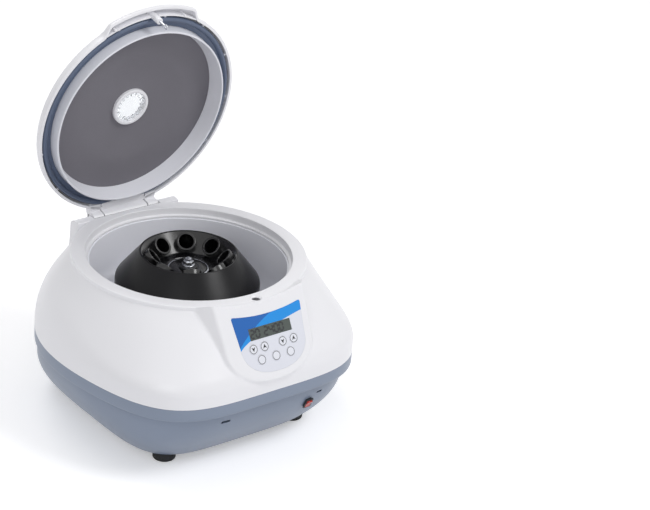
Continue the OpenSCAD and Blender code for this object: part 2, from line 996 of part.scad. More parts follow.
// Rear bezel: a tray through the wall with the mains inlet and the fuse drawer
inlet_x = -12;
inlet_w = 27;
inlet_h = 20;
fuse_x = 17;
fuse_w = 13;
fuse_h = 18;
tray_t = 2;
tray_floor = -10;
module rear_bezel() {
    color(black)
    placed()
    on_rear()
    difference() {
        translate([-rear_w / 2, -rear_h / 2, -rear_deep])
        cube([rear_w, rear_h, rear_deep + 0.5]);
        translate([-rear_w / 2 + tray_t, -rear_h / 2 + tray_t, tray_floor])
        cube([rear_w - 2 * tray_t, rear_h - 2 * tray_t, 30]);
        translate([inlet_x, 0, -20])
        linear_extrude(height = 30)
        square([inlet_w, inlet_h], center = true);
        translate([fuse_x, 0, -20])
        linear_extrude(height = 30)
        square([fuse_w, fuse_h], center = true);
    }
}
// The socket takes a standard three-pin appliance connector
socket_w = 24.4;
socket_h = 16.6;
socket_deep = 16;
socket_face = tray_floor + 3;
module power_inlet() {
    color(black)
    placed()
    on_rear()
    translate([inlet_x, 0, 0]) {
        difference() {
            translate([-inlet_w / 2, -inlet_h / 2, socket_face - socket_deep - 2])
            cube([inlet_w, inlet_h, socket_deep + 2]);
            translate([0, 0, socket_face - socket_deep])
            linear_extrude(height = socket_deep + past)
            polygon([
                [-socket_w / 2, -socket_h / 2], [socket_w / 2, -socket_h / 2],
                [socket_w / 2, socket_h / 2 - 4.5], [socket_w / 2 - 4.5, socket_h / 2],
                [-socket_w / 2 + 4.5, socket_h / 2], [-socket_w / 2, socket_h / 2 - 4.5]
            ]);
        }
        for (p = [[-7, -2], [7, -2], [0, 2]]) {
            translate([p[0] - 1, p[1] - 2, socket_face - socket_deep - 1])
            cube([2, 4, 13]);
        }
    }
}
module fuse_drawer() {
    color(black)
    placed()
    on_rear()
    translate([fuse_x, 0, 0]) {
        translate([-fuse_w / 2, -fuse_h / 2, -18])
        cube([fuse_w, fuse_h, 18 + tray_floor + 2]);
        translate([-3, -1, tray_floor + 1])
        cube([6, 2, 3]);
    }
}

// Hinge pins and their bushes
module hinge_pins() {
    color(steel)
    placed()
    for (side = [0, 1]) {
        mirror([side, 0, 0])
        at_hinge()
        bar_x(cover_half + 3, lug_half - 1, pin_r);
    }
}

// The lid is drawn closed and turned back about the hinge to its open place
module open_lid() {
    at_hinge()
    rotate([-open_angle, 0, 0])
    translate([0, -hinge_y, -hinge_z])
    children();
}
lid_gap = 1;
lid_z = rim_z + lid_gap;
lip_t = 3.5;
dome_top_z = lid_z + dome_h;
ring_r = 62;
// Outer line of the dome from its edge to the raised ring, as one curve with a soft shoulder
shoulder_h = dome_h - 11;
function bend(a, b, c, n) = [
    for (i = [0:n])
        let (t = i / n)
        [for (k = [0, 1]) pow(1 - t, 2) * a[k] + 2 * t * (1 - t) * b[k] + t * t * c[k]]
];
function dome_line(r, low, drop) = concat(
    bend([r, lid_z + low], [r, lid_z + shoulder_h - 3 - drop], [r - 12, lid_z + shoulder_h - drop], 5),
    bend([r - 18, lid_z + shoulder_h + 1.5 - drop], [mix(r, ring_r, 0.6), dome_top_z - 3.4 - drop],
        [ring_r + 3, dome_top_z - 1.6 - drop], 6)
);
function top_line(drop) = [
    [ring_r + 1, dome_top_z - 1.2 - drop], [ring_r - 1, dome_top_z - 0.6 - drop],
    [ring_r - 4, dome_top_z - 0.6 - drop], [view_r + 3, dome_top_z - drop]
];
// Plan of the finger lip: the lid's circle swells in two soft steps
visor_soft = 14;
function visor_r(a) =
    let (x = abs(lid_r * sin(a)))
    lid_r + visor_out * smooth((visor_half + visor_soft / 2 - x) / visor_soft);
visor_reach = 34;
module visor_plan(inset) {
    polygon(concat(
        [for (a = [-visor_reach:1:visor_reach]) [visor_r(a) * sin(a), -visor_r(a) * cos(a)]
            * (1 - inset / lid_r)],
        [[70, -60], [-70, -60]]
    ));
}
module visor(inset, low, top) {
    intersection() {
        translate([0, 0, lid_z - 2])
        linear_extrude(height = 40)
        visor_plan(inset);
        rotate_extrude()
        polygon(concat(
            [[100, lid_z + low], [lid_r + visor_out + 2 - inset, lid_z + low]],
            [[lid_r + visor_out + 2 - inset, lid_z + 4.5 - top], [lid_r + visor_out - 5 - inset, lid_z + 8.5 - top]],
            [[lid_r - 8, lid_z + shoulder_h - 1 - top], [100, lid_z + shoulder_h - 1 - top]]
        ));
    }
}
// Side view of the hinge tongue: a barrel and a neck up to the lid
neck_y = sqrt(pow(lid_r - lip_t, 2) - pow(tongue_half, 2)) - 1;
module tongue_profile(shrink) {
    translate([hinge_y, hinge_z])
    circle(r = barrel_r - shrink);
    polygon([
        [neck_y, lid_z + shrink], [hinge_y - barrel_r + shrink + 0.1, lid_z + shrink],
        [hinge_y - barrel_r + shrink + 0.1, hinge_z], [hinge_y + 1.2, hinge_z],
        [hinge_y + 1.2, hinge_z + 8], [hinge_y - 1, hinge_z + 12], [neck_y, hinge_z + 13]
    ]);
}
module tongue_bar(x0, x1, shrink) {
    translate([x0, 0, 0])
    rotate([90, 0, 90])
    linear_extrude(height = x1 - x0)
    tongue_profile(shrink);
}

// The lid's shell: dome, edge, finger lip and the two hinge arms
module lid_shell() {
    color(white)
    placed()
    open_lid()
    difference() {
        union() {
            rotate_extrude()
            polygon(concat(
                [[lid_r - lip_t, lid_z], [lid_r - 0.8, lid_z], [lid_r, lid_z + 0.8]],
                dome_line(lid_r, 4, 0),
                top_line(0),
                arc([view_r + 1.5, dome_top_z - 1.5], 1.5, 90, 180),
                [[view_r, dome_top_z - 6], [view_r + 3, dome_top_z - 6], [view_r + 3, dome_top_z - lid_t]],
                [[ring_r + 3, dome_top_z - 1.6 - lid_t]],
                [for (i = [1:6]) let (d = dome_line(lid_r - lip_t, 4, lid_t)) d[12 - i]],
                [[lid_r - lip_t - 8, lid_z + shoulder_h - lid_t - 0.8], [lid_r - lip_t, lid_z + 8]]
            ));
            difference() {
                visor(0, 0, 0);
                translate([0, 0, lid_z - 3])
                cylinder(h = 40, r = lid_r - 1);
            }
            for (side = [0, 1]) {
                mirror([side, 0, 0])
                tongue_bar(cover_half + 0.6, tongue_half, 0);
            }
        }
        // Hollow of the finger lip
        difference() {
            visor(lip_t, -past, lid_t);
            translate([0, 0, lid_z - 5])
            cylinder(h = 40, r = lid_r - 1.2);
        }
        at_hinge()
        bar_x(-tongue_half - past, tongue_half + past, bush_r);
        // The space of the liner stays clear of the arms, and the striker's boss has its seat
        translate([0, 0, lid_z - past])
        cylinder(h = 9, r = lid_r - lip_t);
        translate([0, striker_y, lid_z - past])
        cylinder(h = boss_top_z - lid_z + past, r = boss_pin_r + fit);
    }
}
module hinge_cover() {
    color(white)
    placed()
    open_lid()
    difference() {
        tongue_bar(-cover_half, cover_half, 0.3);
        translate([0, 0, lid_z - 30])
        cylinder(h = 80, r = lid_r);
    }
}
module hinge_bushes() {
    color(black)
    placed()
    open_lid()
    for (side = [0, 1]) {
        mirror([side, 0, 0])
        at_hinge()
        difference() {
            bar_x(cover_half + 0.6, tongue_half, bush_r);
            bar_x(cover_half, tongue_half + past, pin_r + fit);
        }
    }
}

// Liner: a ring that dips into the mouth, with the pan for the disc and the flange for the gasket
liner_r = mouth_r - 4;
liner_low_z = ledge_z + 1;
pan_r = liner_r - 4.6;
disc_z = lid_z + 12;
disc_t = 1.5;
liner_t = 2;
flange_z = lid_z + 6.5;
liner_out = lid_r - lip_t - 2.2;
module lid_liner() {
    color(white)
    placed()
    open_lid() {
        rotate_extrude()
        polygon(concat(
            arc([liner_r + 0.8, liner_low_z + 0.8], 0.8, 180, 360),
            [[liner_r + liner_t, flange_z], [liner_out, flange_z]],
            [[liner_out, flange_z + 1.5], [liner_r + liner_t - 1, flange_z + 1.5]],
            [[pan_r + liner_t, disc_z + disc_t + 1.2], [pan_r - 10, disc_z + disc_t + 1.2]],
            [[pan_r - 10, disc_z + disc_t], [pan_r, disc_z + disc_t], [pan_r, disc_z]]
        ));
        // Snap tabs that hold the liner in the lid
        for (a = [20:28:330]) {
            rotate([0, 0, 90 + a])
            translate([liner_out - 0.6, -1, flange_z])
            cube([2.7, 2, 1.5]);
        }
    }
}
module liner_disc() {
    color(dark_grey)
    placed()
    open_lid()
    rotate_extrude()
    polygon([
        [view_r + 3.2, disc_z], [pan_r, disc_z], [pan_r, disc_z + disc_t],
        [view_r + 3.2, disc_z + disc_t]
    ]);
}
gasket_in = liner_r + liner_t + 0.8;
gasket_out = liner_out - 0.2;
bead_r = 3;
module lid_gasket() {
    color(gasket_blue)
    placed()
    open_lid()
    rotate_extrude()
    polygon(concat(
        [[gasket_in, flange_z], [gasket_in, flange_z - 1.4], [gasket_out - 2 * bead_r, flange_z - 1.6]],
        arc([gasket_out - bead_r, flange_z - bead_r], bead_r, 180, 360, 8),
        [[gasket_out, flange_z]]
    ));
}

// Viewport: a ribbed collar through the lid with a clear window
collar_low_z = disc_z - 4;
window_z = dome_top_z - 6;
window_t = 2;
module viewport_collar() {
    color(white)
    placed()
    open_lid() {
        difference() {
            translate([0, 0, collar_low_z])
            cylinder(h = window_z - collar_low_z, r = view_r + 3);
            translate([0, 0, collar_low_z - past])
            cylinder(h = window_z - collar_low_z + 2 * past, r = view_r);
            translate([0, 0, window_z - window_t])
            cylinder(h = window_t + past, r = view_r + 1.5);
        }
        for (a = [0:36:359]) {
            rotate([0, 0, a])
            translate([view_r - 1.6, -1, collar_low_z + 1])
            cube([2, 2, window_z - window_t - collar_low_z - 1]);
        }
    }
}
module viewport_window() {
    color(clear)
    placed()
    open_lid()
    translate([0, 0, window_z - window_t])
    cylinder(h = window_t, r = view_r + 1.5 - fit);
}

// Striker: a boss under the finger lip and a pin that ends in a loop
boss_pin_r = 4.1;
boss_low_z = ledge_z - 2;
boss_top_z = lid_z + 8;
strike_r = 1.4;
loop_r = 3.2;
wire_r = 0.8;
module striker_boss() {
    color(white)
    placed()
    open_lid()
    translate([0, striker_y, 0])
    difference() {
        rotate_extrude()
        polygon([
            [0, boss_low_z], [boss_pin_r - 0.8, boss_low_z], [boss_pin_r, boss_low_z + 0.8],
            [boss_pin_r, boss_top_z], [0, boss_top_z]
        ]);
        translate([0, 0, boss_low_z - past])
        cylinder(h = 12, r = strike_r);
    }
}
module striker_pin() {
    color(steel)
    placed()
    open_lid()
    translate([0, striker_y, 0]) {
        translate([0, 0, loop_z + loop_r - 0.4])
        cylinder(h = boss_low_z + 10 - loop_z - loop_r, r = strike_r);
        translate([0, 0, loop_z])
        rotate([0, 90, 0])
        rotate_extrude()
        translate([loop_r - wire_r, 0])
        circle(r = wire_r, $fn = 24);
    }
}

// Rotor: a conical shell with a dish for the sleeves and a hub for the spindle
shell_t = 2.6;
dish_r = rotor_rim_r - 2;
dish_deep = 20.5;
dish_z = rotor_top_z - dish_deep;
disc_r = dish_r - dish_deep;
hub_r = 16;
seat_z = rotor_low_z + 2;
stub_r = 4;
sleeve_r = well_d / 2 + 1.7;
collar_r = well_d / 2 + 2.7;
cone_run = (rotor_r - rotor_rim_r) / (rotor_top_z - rotor_cone_z);
slant = shell_t * sqrt(1 + cone_run * cone_run);
// The underside of the dish is the line r = z + under, and it meets the inside of the cone at apex_r
under = dish_r - rotor_top_z + shell_t * sqrt(2);
apex_r = (rotor_rim_r - slant + cone_run * (rotor_top_z + under)) / (1 + cone_run);
module at_well(i) {
    rotate([0, 0, 45 * i + rotor_turn])
    translate([0, well_r, well_z])
    rotate([45, 0, 0])
    children();
}
// Distance from a sleeve's mouth down to the surface of the dish
collar_h = ((dish_r - well_r) - (rotor_top_z - well_z)) * sqrt(0.5);
module rotor_body() {
    color(black)
    placed()
    difference() {
        rotate_extrude()
        polygon(concat(
            [[rotor_r, rotor_low_z], [rotor_r, rotor_cone_z - 2], [rotor_r - 0.7, rotor_cone_z + 1]],
            arc([rotor_rim_r - 1.2, rotor_top_z - 1], 1.2, 30, 150),
            [[disc_r, dish_z], [stub_r + fit, dish_z]],
            [[stub_r + fit, seat_z], [hub_r, seat_z], [hub_r, dish_z - shell_t]],
            [[dish_z - shell_t + under, dish_z - shell_t], [apex_r, apex_r - under]],
            [[rotor_r - slant, rotor_cone_z - 1], [rotor_r - shell_t, rotor_low_z]]
        ));
        for (i = [0:7]) {
            at_well(i) {
                translate([0, 0, -collar_h - 12])
                cylinder(h = 40, r = sleeve_r + fit);
                // A flat seat for the sleeve's collar
                translate([0, 0, -collar_h])
                cylinder(h = 28, r = collar_r + fit);
            }
        }
    }
}
module sleeve() {
    bore_end = well_depth - well_d / 2;
    rotate_extrude()
    polygon(concat(
        [[well_d / 2, 0], [collar_r, 0], [collar_r, -collar_h], [sleeve_r, -collar_h], [sleeve_r, -bore_end]],
        arc([0, -bore_end], sleeve_r, 0, -90, 8),
        arc([0, -bore_end], well_d / 2, -90, 0, 8)
    ));
}
module tube_sleeve(i) {
    at_well(i)
    sleeve();
}
module tube_sleeve_1() {
    color(black)
    placed()
    tube_sleeve(0);
}
module tube_sleeve_2() {
    color(black)
    placed()
    tube_sleeve(1);
}
module tube_sleeve_3() {
    color(black)
    placed()
    tube_sleeve(2);
}
module tube_sleeve_4() {
    color(black)
    placed()
    tube_sleeve(3);
}
module tube_sleeve_5() {
    color(black)
    placed()
    tube_sleeve(4);
}
module tube_sleeve_6() {
    color(black)
    placed()
    tube_sleeve(5);
}
module tube_sleeve_7() {
    color(black)
    placed()
    tube_sleeve(6);
}
module tube_sleeve_8() {
    color(black)
    placed()
    tube_sleeve(7);
}

washer_r = 11;
washer_t = 2.4;
nut_z = dish_z + washer_t;
nut_top = 6;
module drive_spindle() {
    color(steel)
    placed() {
        translate([0, 0, motor_low_z + past])
        cylinder(h = seat_z - motor_low_z - past, r = spindle_r);
        translate([0, 0, seat_z])
        cylinder(h = nut_z + nut_top + 3 - seat_z, r = stub_r);
    }
}
module rotor_washer() {
    color(black)
    placed()
    translate([0, 0, dish_z])
    difference() {
        cylinder(h = washer_t, r = washer_r);
        translate([0, 0, -past])
        cylinder(h = washer_t + 2 * past, r = stub_r + fit);
    }
}
module rotor_nut() {
    color(steel)
    placed()
    translate([0, 0, nut_z])
    difference() {
        union() {
            cylinder(h = nut_top, r = 6.6, $fn = 6);
            cylinder(h = 1.4, r = 7.4);
        }
        translate([0, 0, -past])
        cylinder(h = nut_top + 2 * past, r = stub_r + fit);
    }
}

lower_housing();
upper_housing();
chamber_bowl();
base_plate();
foot_front_left();
foot_front_right();
foot_rear_left();
foot_rear_right();
foot_nuts();
housing_screws();
motor_body();
motor_bearings();
motor_mounts();
motor_bracket();
spindle_seal();
drive_board();
panel_overlay();
display_window();
display_module();
control_board();
key_left_down();
key_left_up();
key_right_down();
key_right_up();
key_low_left();
key_low_middle();
key_low_right();
switch_bezel();
power_rocker();
lock_body();
lock_solenoid();
lock_bolt();
rear_bezel();
power_inlet();
fuse_drawer();
hinge_pins();
hinge_bushes();
lid_shell();
lid_liner();
liner_disc();
lid_gasket();
hinge_cover();
viewport_collar();
viewport_window();
striker_boss();
striker_pin();
rotor_body();
drive_spindle();
rotor_washer();
rotor_nut();
tube_sleeve_1();
tube_sleeve_2();
tube_sleeve_3();
tube_sleeve_4();
tube_sleeve_5();
tube_sleeve_6();
tube_sleeve_7();
tube_sleeve_8();
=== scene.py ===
"""Bench centrifuge with an open round lid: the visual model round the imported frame."""
import math

import bmesh
import bpy
from mathutils import Matrix, Vector


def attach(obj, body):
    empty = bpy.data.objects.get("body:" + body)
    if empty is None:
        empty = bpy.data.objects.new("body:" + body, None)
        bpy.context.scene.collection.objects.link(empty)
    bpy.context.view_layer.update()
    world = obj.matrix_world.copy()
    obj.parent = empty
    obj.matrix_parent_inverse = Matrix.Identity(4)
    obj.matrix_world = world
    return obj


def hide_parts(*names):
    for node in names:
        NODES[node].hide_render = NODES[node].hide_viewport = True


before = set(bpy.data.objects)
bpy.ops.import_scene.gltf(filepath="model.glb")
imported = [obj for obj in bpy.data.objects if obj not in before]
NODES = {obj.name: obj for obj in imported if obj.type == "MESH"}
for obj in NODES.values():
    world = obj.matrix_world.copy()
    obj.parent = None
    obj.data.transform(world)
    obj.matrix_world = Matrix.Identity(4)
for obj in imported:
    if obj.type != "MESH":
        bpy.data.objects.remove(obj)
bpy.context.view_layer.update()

MM = 0.001
FULL_TURN = 2 * math.pi
# Stands an outline given as (y, z) pairs upright, with its thickness along X
SIDEWAYS = Matrix(((0, 0, 1, 0), (1, 0, 0, 0), (0, 1, 0, 0), (0, 0, 0, 1)))

# The spindle stands this far behind the origin, in millimetres; pieces are drawn about the spindle
SPINDLE_Y = (141.6 + 0.4 + 93 * math.cos(math.radians(61)) - 180 + 2.5) / 2

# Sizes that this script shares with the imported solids, in millimetres
BODY_R = 180.0
FRONT_DEPTH = 180.5
BODY_Y = -2.5
FRONT_SQUARE = 4.0
SIDE_SQUARE = 2.13
REAR_SQUARE = 2.0
SEAM_Z = 103.5
BAND_Z = 87.5
STEP_Z = 84.5
BAND_STEP = 10.5
BOTTOM_Z = 10.0
BOTTOM_HALF = 126.0
BOTTOM_REAR = 142.0
BOTTOM_SQUARE = 4.5
CURL = 1.8
RIM_Z = 202.5
RIM_R = 141.6
MOUTH_R = 120.0
LEDGE_Z = 193.5
BAND_IN_R = 124.0
HINGE_Y = 140.0
HINGE_Z = 198.0
LID_Z = 203.5
LID_R = 137.0
OPEN_ANGLE = math.radians(79.3)
PANEL_X = 5.0
PANEL_TOP_Y = -142.0
PANEL_TILT = math.radians(61)
SHIELD_MID = -48.0
SWITCH_X = 65.0
SWITCH_Z = 59.5
SLOT_Z = 71.5
WALL = 2.4
POCKET_HALF = 48.5
POCKET_R = 8.1
STRIKER_Y = -135.6
LATCH_R = 4.9


# ---------------------------------------------------------------- small maths
def mix(a, b, t):
    return a + (b - a) * t


def smooth(t):
    c = min(max(t, 0.0), 1.0)
    return c * c * (3 - 2 * c)


def plan_r(a, half, front, rear, nf, ns, nr):
    """Radius of a plan outline in one direction, with its own squareness at front, side and rear."""
    c, s = abs(math.cos(a)), abs(math.sin(a))
    fore = math.sin(a) < 0
    n = ns * c * c + (nf if fore else nr) * s * s
    depth = front if fore else rear
    return ((c / half) ** n + (s / depth) ** n) ** (-1 / n)


def body_plan_r(a, inset=0.0):
    return plan_r(a, BODY_R - inset, FRONT_DEPTH - inset, BODY_R - inset, FRONT_SQUARE, SIDE_SQUARE,
                  REAR_SQUARE)


def on_plan(a, r, z, middle=BODY_Y):
    return Vector((r * math.cos(a), middle + r * math.sin(a), z))


def rounded(points, radius, steps=4, closed=True):
    """A polyline whose corners are rounded; a radius may be one number or one for each corner."""
    out = []
    n = len(points)
    for i, p in enumerate(points):
        r = radius[i] if isinstance(radius, (list, tuple)) else radius
        if r <= 0 or (not closed and i in (0, n - 1)):
            out.append(p)
            continue
        a, b, c = Vector(points[i - 1]), Vector(p), Vector(points[(i + 1) % n])
        u, w = (a - b), (c - b)
        half = u.angle(w) / 2
        if half > 1.55:
            out.append(p)
            continue
        reach = min(r / math.tan(half), 0.45 * u.length, 0.45 * w.length)
        start, end = b + u.normalized() * reach, b + w.normalized() * reach
        for k in range(steps + 1):
            t = k / steps
            out.append(tuple((1 - t) ** 2 * start + 2 * t * (1 - t) * b + t * t * end))
    return out


# ---------------------------------------------------------------- meshes
def to_object(bm, name, material, body, slot, replaces=(), sharp=32.0, bevel=0.0, wall=0.0):
    """Turns a bmesh in millimetres into a finished piece that rides on a body."""
    bmesh.ops.remove_doubles(bm, verts=bm.verts, dist=1e-4)
    bmesh.ops.recalc_face_normals(bm, faces=bm.faces)
    bmesh.ops.translate(bm, vec=(0, SPINDLE_Y, 0), verts=bm.verts)
    bmesh.ops.scale(bm, vec=(MM, MM, MM), verts=bm.verts)
    mesh = bpy.data.meshes.new(name)
    bm.to_mesh(mesh)
    bm.free()
    mesh.shade_smooth()
    mesh.set_sharp_from_angle(angle=math.radians(sharp))
    obj = bpy.data.objects.new(name, mesh)
    bpy.context.scene.collection.objects.link(obj)
    if wall:
        solid = obj.modifiers.new("wall", "SOLIDIFY")
        solid.thickness = wall * MM
        solid.offset = -1
        solid.use_even_offset = True
    if bevel:
        edge = obj.modifiers.new("edge", "BEVEL")
        edge.width = bevel * MM
        edge.segments = 3
        edge.limit_method = "ANGLE"
        edge.angle_limit = math.radians(40)
    mesh.materials.append(material)
    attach(obj, body)
    if replaces:
        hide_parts(*replaces)
    return obj


def spin_profile(bm, points, steps=96, closed=True, centre=(0, 0, 0), axis=(0, 0, 1)):
    """Spins a profile of (radius, height) pairs a full turn about Z."""
    verts = [bm.verts.new((r, 0, z)) for r, z in points]
    edges = [bm.edges.new((verts[i], verts[i + 1])) for i in range(len(verts) - 1)]
    if closed:
        edges.append(bm.edges.new((verts[-1], verts[0])))
    made = bmesh.ops.spin(
        bm, geom=verts + edges, cent=centre, axis=axis, angle=FULL_TURN, steps=steps, use_merge=True
    )
    return made


def spun(name, points, material, body, slot, replaces=(), steps=96, closed=True, turn=None, **finish):
    bm = bmesh.new()
    spin_profile(bm, points, steps, closed)
    if turn is not None:
        bmesh.ops.remove_doubles(bm, verts=bm.verts, dist=1e-4)
        bmesh.ops.transform(bm, matrix=turn, verts=bm.verts)
    return to_object(bm, name, material, body, slot, replaces, **finish)


def box(bm, lo, hi, matrix=Matrix.Identity(4)):
    """Adds a box between two corners."""
    lo, hi = Vector(lo), Vector(hi)
    place = matrix @ Matrix.Translation((lo + hi) / 2) @ Matrix.Diagonal((*(hi - lo), 1))
    return bmesh.ops.create_cube(bm, size=1, matrix=place)["verts"]


def rod(bm, start, end, r, segments=32):
    """Adds a cylinder between two points."""
    start, end = Vector(start), Vector(end)
    way = end - start
    turn = Vector((0, 0, 1)).rotation_difference(way.normalized()).to_matrix().to_4x4()
    place = Matrix.Translation((start + end) / 2) @ turn
    return bmesh.ops.create_cone(
        bm, cap_ends=True, segments=segments, radius1=r, radius2=r, depth=way.length, matrix=place
    )["verts"]


def plate(bm, outline, low, high, matrix=Matrix.Identity(4)):
    """Adds a flat plate with a given outline in the XY plane, from low to high."""
    verts = [bm.verts.new((x, y, low)) for x, y in outline]
    face = bm.faces.new(verts)
    made = bmesh.ops.extrude_face_region(bm, geom=[face])["geom"]
    top = [g for g in made if isinstance(g, bmesh.types.BMVert)]
    bmesh.ops.translate(bm, vec=(0, 0, high - low), verts=top)
    bmesh.ops.transform(bm, matrix=matrix, verts=verts + top)
    return verts + top


def cut(obj, bm):
    """Cuts the shapes in a bmesh, in millimetres, out of a finished piece."""
    bmesh.ops.recalc_face_normals(bm, faces=bm.faces)
    bmesh.ops.translate(bm, vec=(0, SPINDLE_Y, 0), verts=bm.verts)
    bmesh.ops.scale(bm, vec=(MM, MM, MM), verts=bm.verts)
    mesh = bpy.data.meshes.new("cutter")
    bm.to_mesh(mesh)
    bm.free()
    tool = bpy.data.objects.new("cutter", mesh)
    bpy.context.scene.collection.objects.link(tool)
    bpy.context.view_layer.update()
    hole = obj.modifiers.new("hole", "BOOLEAN")
    hole.operation = "DIFFERENCE"
    hole.solver = "EXACT"
    hole.use_self = True
    hole.object = tool
    graph = bpy.context.evaluated_depsgraph_get()
    result = bpy.data.meshes.new_from_object(obj.evaluated_get(graph), depsgraph=graph)
    obj.modifiers.clear()
    old = obj.data
    obj.data = result
    bpy.data.meshes.remove(old)
    bpy.data.objects.remove(tool)
    bpy.data.meshes.remove(mesh)
    result.shade_smooth()
    result.set_sharp_from_angle(angle=math.radians(32))


def ring_loft(rings):
    """A skin through rings of equal length: a circle is extruded ring by ring."""
    bm = bmesh.new()
    count = len(rings[0])
    first = bmesh.ops.create_circle(bm, segments=count, radius=1)["verts"]
    loop = list(first)
    edges = [bm.edges.get((loop[i], loop[(i + 1) % count])) for i in range(count)]
    for vert, place in zip(loop, rings[0]):
        vert.co = place
    for ring in rings[1:]:
        made = bmesh.ops.extrude_edge_only(bm, edges=edges)["geom"]
        fresh = [g for g in made if isinstance(g, bmesh.types.BMVert)]
        old_loop, loop = loop, []
        fresh_set = set(fresh)
        for vert in old_loop:
            loop.append(next(e.other_vert(vert) for e in vert.link_edges if e.other_vert(vert) in fresh_set))
        for vert, place in zip(loop, ring):
            vert.co = place
        edges = [bm.edges.get((loop[i], loop[(i + 1) % count])) for i in range(count)]
    return bm


# ---------------------------------------------------------------- colours and shader groups
def srgb(code):
    """Linear colour of a hex code."""
    parts = [int(code[i:i + 2], 16) / 255 for i in (0, 2, 4)]
    return tuple(c / 12.92 if c <= 0.04045 else ((c + 0.055) / 1.055) ** 2.4 for c in parts) + (1.0,)


def new_group(name, inputs, outputs):
    group = bpy.data.node_groups.new(name, "ShaderNodeTree")
    for label, kind, value in inputs:
        socket = group.interface.new_socket(label, in_out="INPUT", socket_type="NodeSocket" + kind)
        socket.default_value = value
    for label, kind in outputs:
        group.interface.new_socket(label, in_out="OUTPUT", socket_type="NodeSocket" + kind)
    return group, group.nodes.new("NodeGroupInput"), group.nodes.new("NodeGroupOutput")


def math_node(tree, operation, a, b=None, c=None, clamp=False):
    node = tree.nodes.new("ShaderNodeMath")
    node.operation = operation
    node.use_clamp = clamp
    for i, value in enumerate((a, b, c)):
        if value is None:
            continue
        if isinstance(value, (int, float)):
            node.inputs[i].default_value = value
        else:
            tree.links.new(value, node.inputs[i])
    return node.outputs[0]


def mix_colour(tree, factor, a, b):
    node = tree.nodes.new("ShaderNodeMix")
    node.data_type = "RGBA"
    for index, value in ((0, factor), (6, a), (7, b)):
        if isinstance(value, (int, float, tuple)):
            node.inputs[index].default_value = value
        else:
            tree.links.new(value, node.inputs[index])
    return node.outputs[2]


def noise(tree, vector, scale, detail=2.0, rough=0.5):
    node = tree.nodes.new("ShaderNodeTexNoise")
    node.inputs["Scale"].default_value = scale
    node.inputs["Detail"].default_value = detail
    node.inputs["Roughness"].default_value = rough
    tree.links.new(vector, node.inputs["Vector"])
    return node.outputs["Fac"]


def build_moulded():
    """Moulded plastic: a faint mottle in colour and gloss, and a fine grain as height."""
    group, enter, leave = new_group(
        "moulded_plastic",
        [("Colour", "Color", (1, 1, 1, 1)), ("Mottle", "Float", 0.03), ("Roughness", "Float", 0.4),
         ("Grain size", "Float", 900.0), ("Spread", "Float", 0.08)],
        [("Colour", "Color"), ("Roughness", "Float"), ("Height", "Float")],
    )
    place = group.nodes.new("ShaderNodeTexCoord").outputs["Object"]
    slow = noise(group, place, 14.0, 3.0)
    fine = group.nodes.new("ShaderNodeTexNoise")
    fine.inputs["Detail"].default_value = 3.0
    group.links.new(place, fine.inputs["Vector"])
    group.links.new(enter.outputs["Grain size"], fine.inputs["Scale"])
    drift = math_node(group, "SUBTRACT", slow, 0.5)
    gain = math_node(group, "MULTIPLY_ADD", drift, enter.outputs["Mottle"], 1.0)
    tint = group.nodes.new("ShaderNodeVectorMath")
    tint.operation = "SCALE"
    group.links.new(enter.outputs["Colour"], tint.inputs[0])
    group.links.new(gain, tint.inputs["Scale"])
    group.links.new(tint.outputs[0], leave.inputs["Colour"])
    group.links.new(math_node(group, "MULTIPLY_ADD", drift, enter.outputs["Spread"],
                              enter.outputs["Roughness"]),
                    leave.inputs["Roughness"])
    group.links.new(fine.outputs["Fac"], leave.inputs["Height"])
    return group


def build_edge_wear():
    """Edges that are lighter from handling, as a mask from the geometry's pointiness."""
    group, enter, leave = new_group("edge_wear", [("Start", "Float", 0.53), ("Width", "Float", 0.05)],
                                    [("Mask", "Float")])
    shape = group.nodes.new("ShaderNodeNewGeometry").outputs["Pointiness"]
    over = math_node(group, "SUBTRACT", shape, enter.outputs["Start"])
    mask = math_node(group, "DIVIDE", over, enter.outputs["Width"], clamp=True)
    place = group.nodes.new("ShaderNodeTexCoord").outputs["Object"]
    broken = math_node(group, "MULTIPLY", mask, noise(group, place, 160.0, 4.0), clamp=True)
    group.links.new(broken, leave.inputs["Mask"])
    return group


MOULDED = build_moulded()
EDGE_WEAR = build_edge_wear()


def new_material(name):
    material = bpy.data.materials.new(name)
    material.use_nodes = True
    tree = material.node_tree
    shader = tree.nodes["Principled BSDF"]
    return material, tree, shader


def use_group(tree, group, **values):
    node = tree.nodes.new("ShaderNodeGroup")
    node.node_tree = group
    for label, value in values.items():
        node.inputs[label.replace("_", " ")].default_value = value
    return node


def bump(tree, shader, height, strength, distance):
    node = tree.nodes.new("ShaderNodeBump")
    node.inputs["Strength"].default_value = strength
    node.inputs["Distance"].default_value = distance
    tree.links.new(height, node.inputs["Height"])
    tree.links.new(node.outputs[0], shader.inputs["Normal"])


def plastic(name, colour, rough=0.4, mottle=0.03, grain=900.0, grain_depth=0.15, coat=0.0, specular=0.5,
            wear=0.0, worn_colour="ffffff"):
    material, tree, shader = new_material(name)
    base = use_group(tree, MOULDED, Colour=srgb(colour), Mottle=mottle, Roughness=rough, Grain_size=grain)
    surface = base.outputs["Colour"]
    if wear:
        mask = math_node(tree, "MULTIPLY", use_group(tree, EDGE_WEAR).outputs["Mask"], wear)
        surface = mix_colour(tree, mask, surface, srgb(worn_colour))
    tree.links.new(surface, shader.inputs["Base Color"])
    tree.links.new(base.outputs["Roughness"], shader.inputs["Roughness"])
    shader.inputs["Coat Weight"].default_value = coat
    shader.inputs["Coat Roughness"].default_value = 0.12
    shader.inputs["Specular IOR Level"].default_value = specular
    bump(tree, shader, base.outputs["Height"], grain_depth, 0.0002)
    return material


